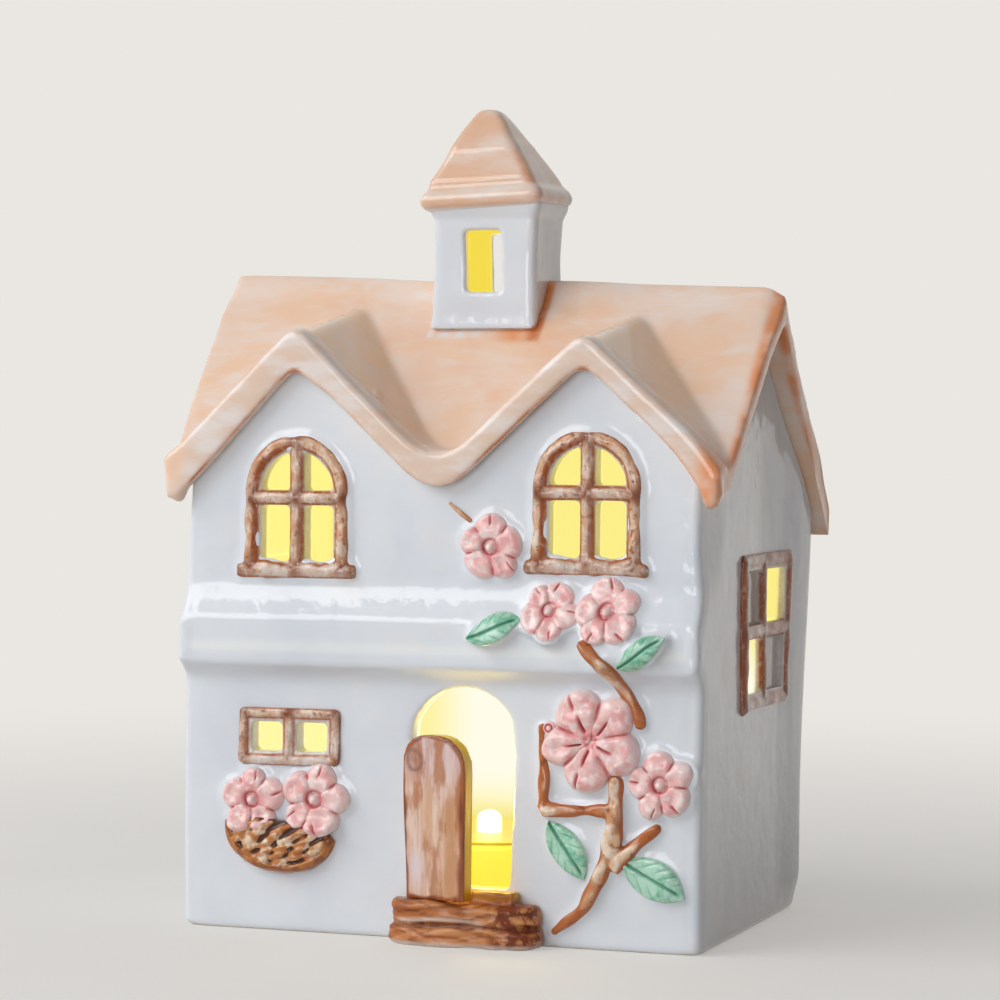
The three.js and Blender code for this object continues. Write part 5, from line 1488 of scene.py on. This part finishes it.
def strip_frame(node, lines, wall, turned=0, worn=(), seed=0):
    """Casement: its CAD tongue with the flange pressed low, under rolls of clay along the lines."""
    points, faces = part_of(node)
    turn = np.array([[np.cos(turned), -np.sin(turned), 0], [np.sin(turned), np.cos(turned), 0], [0, 0, 1]])
    local = points @ turn
    proud = -wall - local[:, 1]
    middle = (local[:, [0, 2]].min(0) + local[:, [0, 2]].max(0)) / 2
    # The closed panes of the side windows lie 1.3 to 1.9 mm deep and are drawn out to 0.6 mm.
    blind = (proud < -1.3) & (proud > -1.9)
    out = np.where(proud > 0, 0.35 * proud, np.where(blind & (turned != 0), -0.6, proud))
    tongue = (proud < -0.1) & (np.abs(local[:, [0, 2]] - middle).max(1) > 0.5)
    local[:, 1] = -wall - out
    for k, half in zip((0, 2), (np.ptp(local[:, 0]) / 2, np.ptp(local[:, 2]) / 2)):
        local[tongue, k] += 0.35 * (local[tongue, k] - middle[k // 2]) / half
    arched = len(lines) == 4
    # How strongly each line's right and lower side is darkened, by stain and painted shade.
    weights = (1.0, 0.35, 0.3, 0.25) if arched else (0.9, 0.6, 0.3, 0.6, 0.6, 0.5)
    rolls = [roll(line, uneven=0.22 if turned == 0 else 0.12, seed=seed + 5 * i,
                  flat=0.95 if turned == 0 else 0.6, lift=0.2,
                  face=lambda x, z, h: np.stack([x + 0 * h, -wall - h, z + 0 * h], -1))
             for i, line in enumerate(lines)]
    piece = pour(node + "_glazed", [(local, faces)] + rolls, 0.32, 2)
    where = points_of(piece)
    flat = where[:, [0, 2]]
    lift = -wall - where[:, 1]
    nearest, wear, offset, side_darkening = nearest_strip(flat, lines, weights, worn)
    joints = [end[:2] for line in lines for end in (line[0], line[-1])]
    joints.append((lines[1][0][0], lines[2][0][1]) if arched else lines[-1][0][:2])
    knot = np.zeros(len(where))
    for jx, jz in joints:
        knot = np.maximum(knot, np.exp(-((flat[:, 0] - jx) ** 2 + (flat[:, 1] - jz) ** 2) / 1.8 ** 2))
    outline = smoothstep(0.8, 1.1, nearest)
    # Painted shade: the right and lower side of each front strip, away from the light, turns brown.
    stain_and_side_shade = smoothstep(0.1, 0.55, offset) * side_darkening * (1 - 0.6 * smoothstep(2, 6, flat[:, 0] - middle[0]))
    if turned:
        stain_and_side_shade = 0.75 + 0.25 * smoothstep(0.3, 1.0, nearest)
    elif arched:
        on_muntin = (np.abs(flat[:, 0] - middle[0]) < 1.6) * smoothstep(16, 14, flat[:, 1] - flat[:, 1].min())
        stain_and_side_shade = np.maximum(stain_and_side_shade, 0.9 * smoothstep(0.1, 0.55, offset) * on_muntin)
    paint(piece, "edge", np.maximum(0.85 * outline, stain_and_side_shade * (1 - 0.8 * wear)))
    paint(piece, "knot", knot * (1 - 0.5 * wear))
    bare = np.maximum(smoothstep(1.35, 1.75, nearest), 0.8 * wear * (1 - knot) * (1 - outline))
    paint(piece, "bare", np.maximum(bare, smoothstep(0.0, -0.5, lift)))
    paint(piece, "lit", smoothstep(-3.0, -4.2, lift) if turned == 0 else smoothstep(-0.7, -1.3, lift))
    set_points(piece, where @ turn.T)
    return piece


WORN_ARCHED, WORN_LOWER = (0, 0.15, 0.3, 0.5), (0.2, 0.45, 0.95, 0.2, 0.6)
SIDE_STRIP, LOWER_STRIP = 1.25, 0.95
for name, lines, wall, turned, worn in (
        ("left_arched_window", arched_lines("left_arched_window"), half_depth, 0, WORN_ARCHED),
        ("right_arched_window", arched_lines("right_arched_window"), half_depth, 0, WORN_ARCHED),
        ("lower_window", square_lines("lower_window", 0, LOWER_STRIP), half_depth, 0, WORN_LOWER),
        ("right_side_window", square_lines("right_side_window", 1, SIDE_STRIP), half_width, np.pi / 2, ()),
        ("left_side_window", square_lines("left_side_window", 1, SIDE_STRIP), half_width, -np.pi / 2, ())):
    piece = strip_frame(name, lines, wall, turned, worn, seed=len(name))
    settle(piece, "house", name, [brown_glaze])

# %% [markdown]
# ## Door
# The door leaf stands ajar by 12 degrees. It is poured from its solid; the real one is squarer at
# its shoulders than a half circle, so its top is drawn out, and two shallow grooves part it into
# planks. The brush outline wanders in width, as a hand does.

# %% Door
PLANK_EDGES = (4.4, 9.3)  # how far the two grooves lie from the hinge, mm
KNOT = (2.7, 25.4)  # from the hinge and above the foot, mm
LEAF = {"hinge": -5.2, "back": -35.8, "half": 6.9, "foot": 8.3, "spring": 23.7, "ajar": np.radians(12)}
door = pour("plank_door", [part_of("door_leaf")], 0.38, 4)
where = points_of(door)
east, north = where[:, 0] - LEAF["hinge"], where[:, 1] - LEAF["back"]
along = east * np.cos(LEAF["ajar"]) - north * np.sin(LEAF["ajar"])
out = -(east * np.sin(LEAF["ajar"]) + north * np.cos(LEAF["ajar"]))
rise = where[:, 2] - LEAF["foot"]
over = np.clip(rise - LEAF["spring"], 0, None)
inset = np.minimum(LEAF["half"] - np.hypot(along - LEAF["half"], over), rise)
groove = np.exp(-((along - PLANK_EDGES[0] - 0.4 * np.sin(rise / 6)) / 0.28) ** 2)
groove += np.exp(-((along - PLANK_EDGES[1] + 0.3 * np.sin(rise / 5)) / 0.28) ** 2)
front = smoothstep(2.4, 3.1, out)
where[:, 1] += 0.12 * groove * front
aside_hinge = np.clip(LEAF["half"] - along, -6.7, 6.7) / LEAF["half"]
power = np.where(aside_hinge > 0, 3.2, 2.2)
square = (1 - np.abs(aside_hinge) ** power) ** (1 / power) / np.sqrt(1 - aside_hinge ** 2)
where[:, 2] += over * (square - 1)
where[:, 0] += 0.9 * smoothstep(22, 0, rise) * smoothstep(7, 0, along)
set_points(door, where)
ragged = 0.5 * np.sin(rise / 2.3 + along) + 0.3 * np.sin(rise / 0.9 + 2)
edge_width = 1.3 + 0.9 * smoothstep(9, 12, along) + ragged
paint(door, "edge", np.clip(smoothstep(edge_width, 0.3, inset) * front + 0.3 * groove * front, 0, 1))
ring = np.hypot(along - KNOT[0], rise - KNOT[1])
paint(door, "knot", front * (np.exp(-((ring - 1.6) / 0.35) ** 2) + 0.7 * np.exp(-(ring / 0.6) ** 2)))
paint(door, "white", front * np.exp(-((along - 2.6) / 2.2) ** 2 - ((rise - 5.5) / 3.2) ** 2))
# Painted light: the leaf's free edge, turned to the doorway, glows gold as if lit from inside.
paint(door, "gold", smoothstep(0.45, 0.1, inset) * smoothstep(3.2, 2.6, out) * smoothstep(4, 8, along))
settle(door, "house", "door_leaf", [door_glaze])

# %% [markdown]
# ## Step
# The step looks like stacked bark: its face is pushed in and out by waves, with dark strata
# between the layers. Bump alone would leave its outline straight.

# %% Step
step = pour("plank_step", [part_of("doorstep")], 0.45, 2)
where = points_of(step)
normal = normals_of(step)
where[:, 0] += 2.3 * smoothstep(5, -10, where[:, 0])
x, y, z = where.T
bark = 0.34 * np.sin(x / 1.9 + 2.1 * np.sin(z / 1.4)) * np.sin(z / 0.8 + x / 6)
bark += 0.24 * np.sin(x / 5.1 + z / 1.1 + 1.3) + 0.25 * np.sin(x / 1.3 + 2 * z) * smoothstep(14, 17, x)
groove = np.exp(-((z - 4.0 - 0.35 * np.sin(x / 4.3)) / 0.4) ** 2)
groove += 0.6 * np.exp(-((z - 6.6 - 0.3 * np.sin(x / 3.1 + 1)) / 0.3) ** 2)
side = smoothstep(-36.5, -38, y)
where += normal * (side * (bark - 0.4 * groove))[:, None]
where[:, 2] = np.maximum(where[:, 2], 0)
set_points(step, where)
strata = smoothstep(0.55, 0.9, np.sin(z * 3.4 + 1.6 * np.sin(x / 3.7) + 0.8 * np.sin(x / 1.1)))
paint(step, "groove", np.clip(0.8 * groove + 0.6 * strata, 0, 1) * side)
paint(step, "edge", smoothstep(11, 15, x) * side)
# Painted light: gold on the step's top by the doorway, as if lit by the lamp.
paint(step, "gold", smoothstep(8.3, 9.2, z) * smoothstep(6.5, 8.5, x) * smoothstep(-41, -38.5, y))
pale = np.exp(-((z - 5.0 - 0.3 * np.sin(x / 3)) / 0.35) ** 2) * smoothstep(13, 10, x) * smoothstep(-7, -4, x)
paint(step, "white", np.maximum(smoothstep(1.2, 0.4, z), pale * side) * 0.7)
settle(step, "house", "doorstep", [step_glaze])

# %% [markdown]
# ## The light
# A round battery light stands on the floor under the house. Its CAD meshes are already true, so
# they are only dressed: moulded edges get a bevel of 0.04 to 0.25 mm, which catches the light.

# %% Light


def dressed(node, body, material, bevel, squash=1.0):
    """A copy of a CAD node's mesh with rounded edges; `squash` below 1 makes it lower."""
    source = nodes[node]
    piece = bpy.data.objects.new(node + "_dressed", source.data.copy())
    piece.matrix_world = source.matrix_world
    scene.collection.objects.link(piece)
    points = points_of(piece)
    foot = points[:, 2].min()
    points[:, 2] = foot + squash * (points[:, 2] - foot)
    set_points(piece, points)
    piece.data.materials.clear()
    piece.data.materials.append(material)
    weld = piece.modifiers.new("weld", "WELD")
    weld.merge_threshold = 0.002 * MM
    edges = piece.modifiers.new("edges", "BEVEL")
    edges.width = bevel * MM
    edges.segments = 2
    edges.limit_method = "ANGLE"
    edges.angle_limit = np.radians(28)
    piece.data.polygons.foreach_set("use_smooth", [True] * len(piece.data.polygons))
    normals = piece.modifiers.new("shading", "WEIGHTED_NORMAL")
    normals.keep_sharp = False
    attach(piece, body)
    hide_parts(node)


for node, body, material, slot, bevel, squash in (
        ("light_housing", "light", milky_plastic, "milky_plastic", 0.25, 1),
        ("base_plate", "light", white_plastic, "white_plastic", 0.15, 1),
        ("housing_screw_1", "light", steel, "steel", 0.08, 1),
        ("housing_screw_2", "light", steel, "steel", 0.08, 1),
        ("led_lamp", "light", lamp_epoxy, "lamp_epoxy", 0.08, 0.76),
        ("led_lead_1", "light", steel, "steel", 0.04, 1),
        ("led_lead_2", "light", steel, "steel", 0.04, 1),
        ("circuit_board", "light", board_laminate, "board_laminate", 0.06, 1),
        ("resistor", "light", black_plastic, "black_plastic", 0.05, 1),
        ("negative_contact", "light", steel, "steel", 0.05, 1),
        ("positive_contact", "light", steel, "steel", 0.05, 1),
        ("switch_body", "light", black_plastic, "black_plastic", 0.1, 1),
        ("switch_slider", "switch_slider", black_plastic, "black_plastic", 0.1, 1),
        ("battery_lid", "battery_lid", white_plastic, "white_plastic", 0.12, 1),
        ("coin_cell", "battery_lid", steel, "steel", 0.15, 1)):
    dressed(node, body, material, bevel, squash)
faces = sum(len(piece.data.polygons) for piece in scene.objects if piece.type == "MESH")
print("faces in all:", faces)
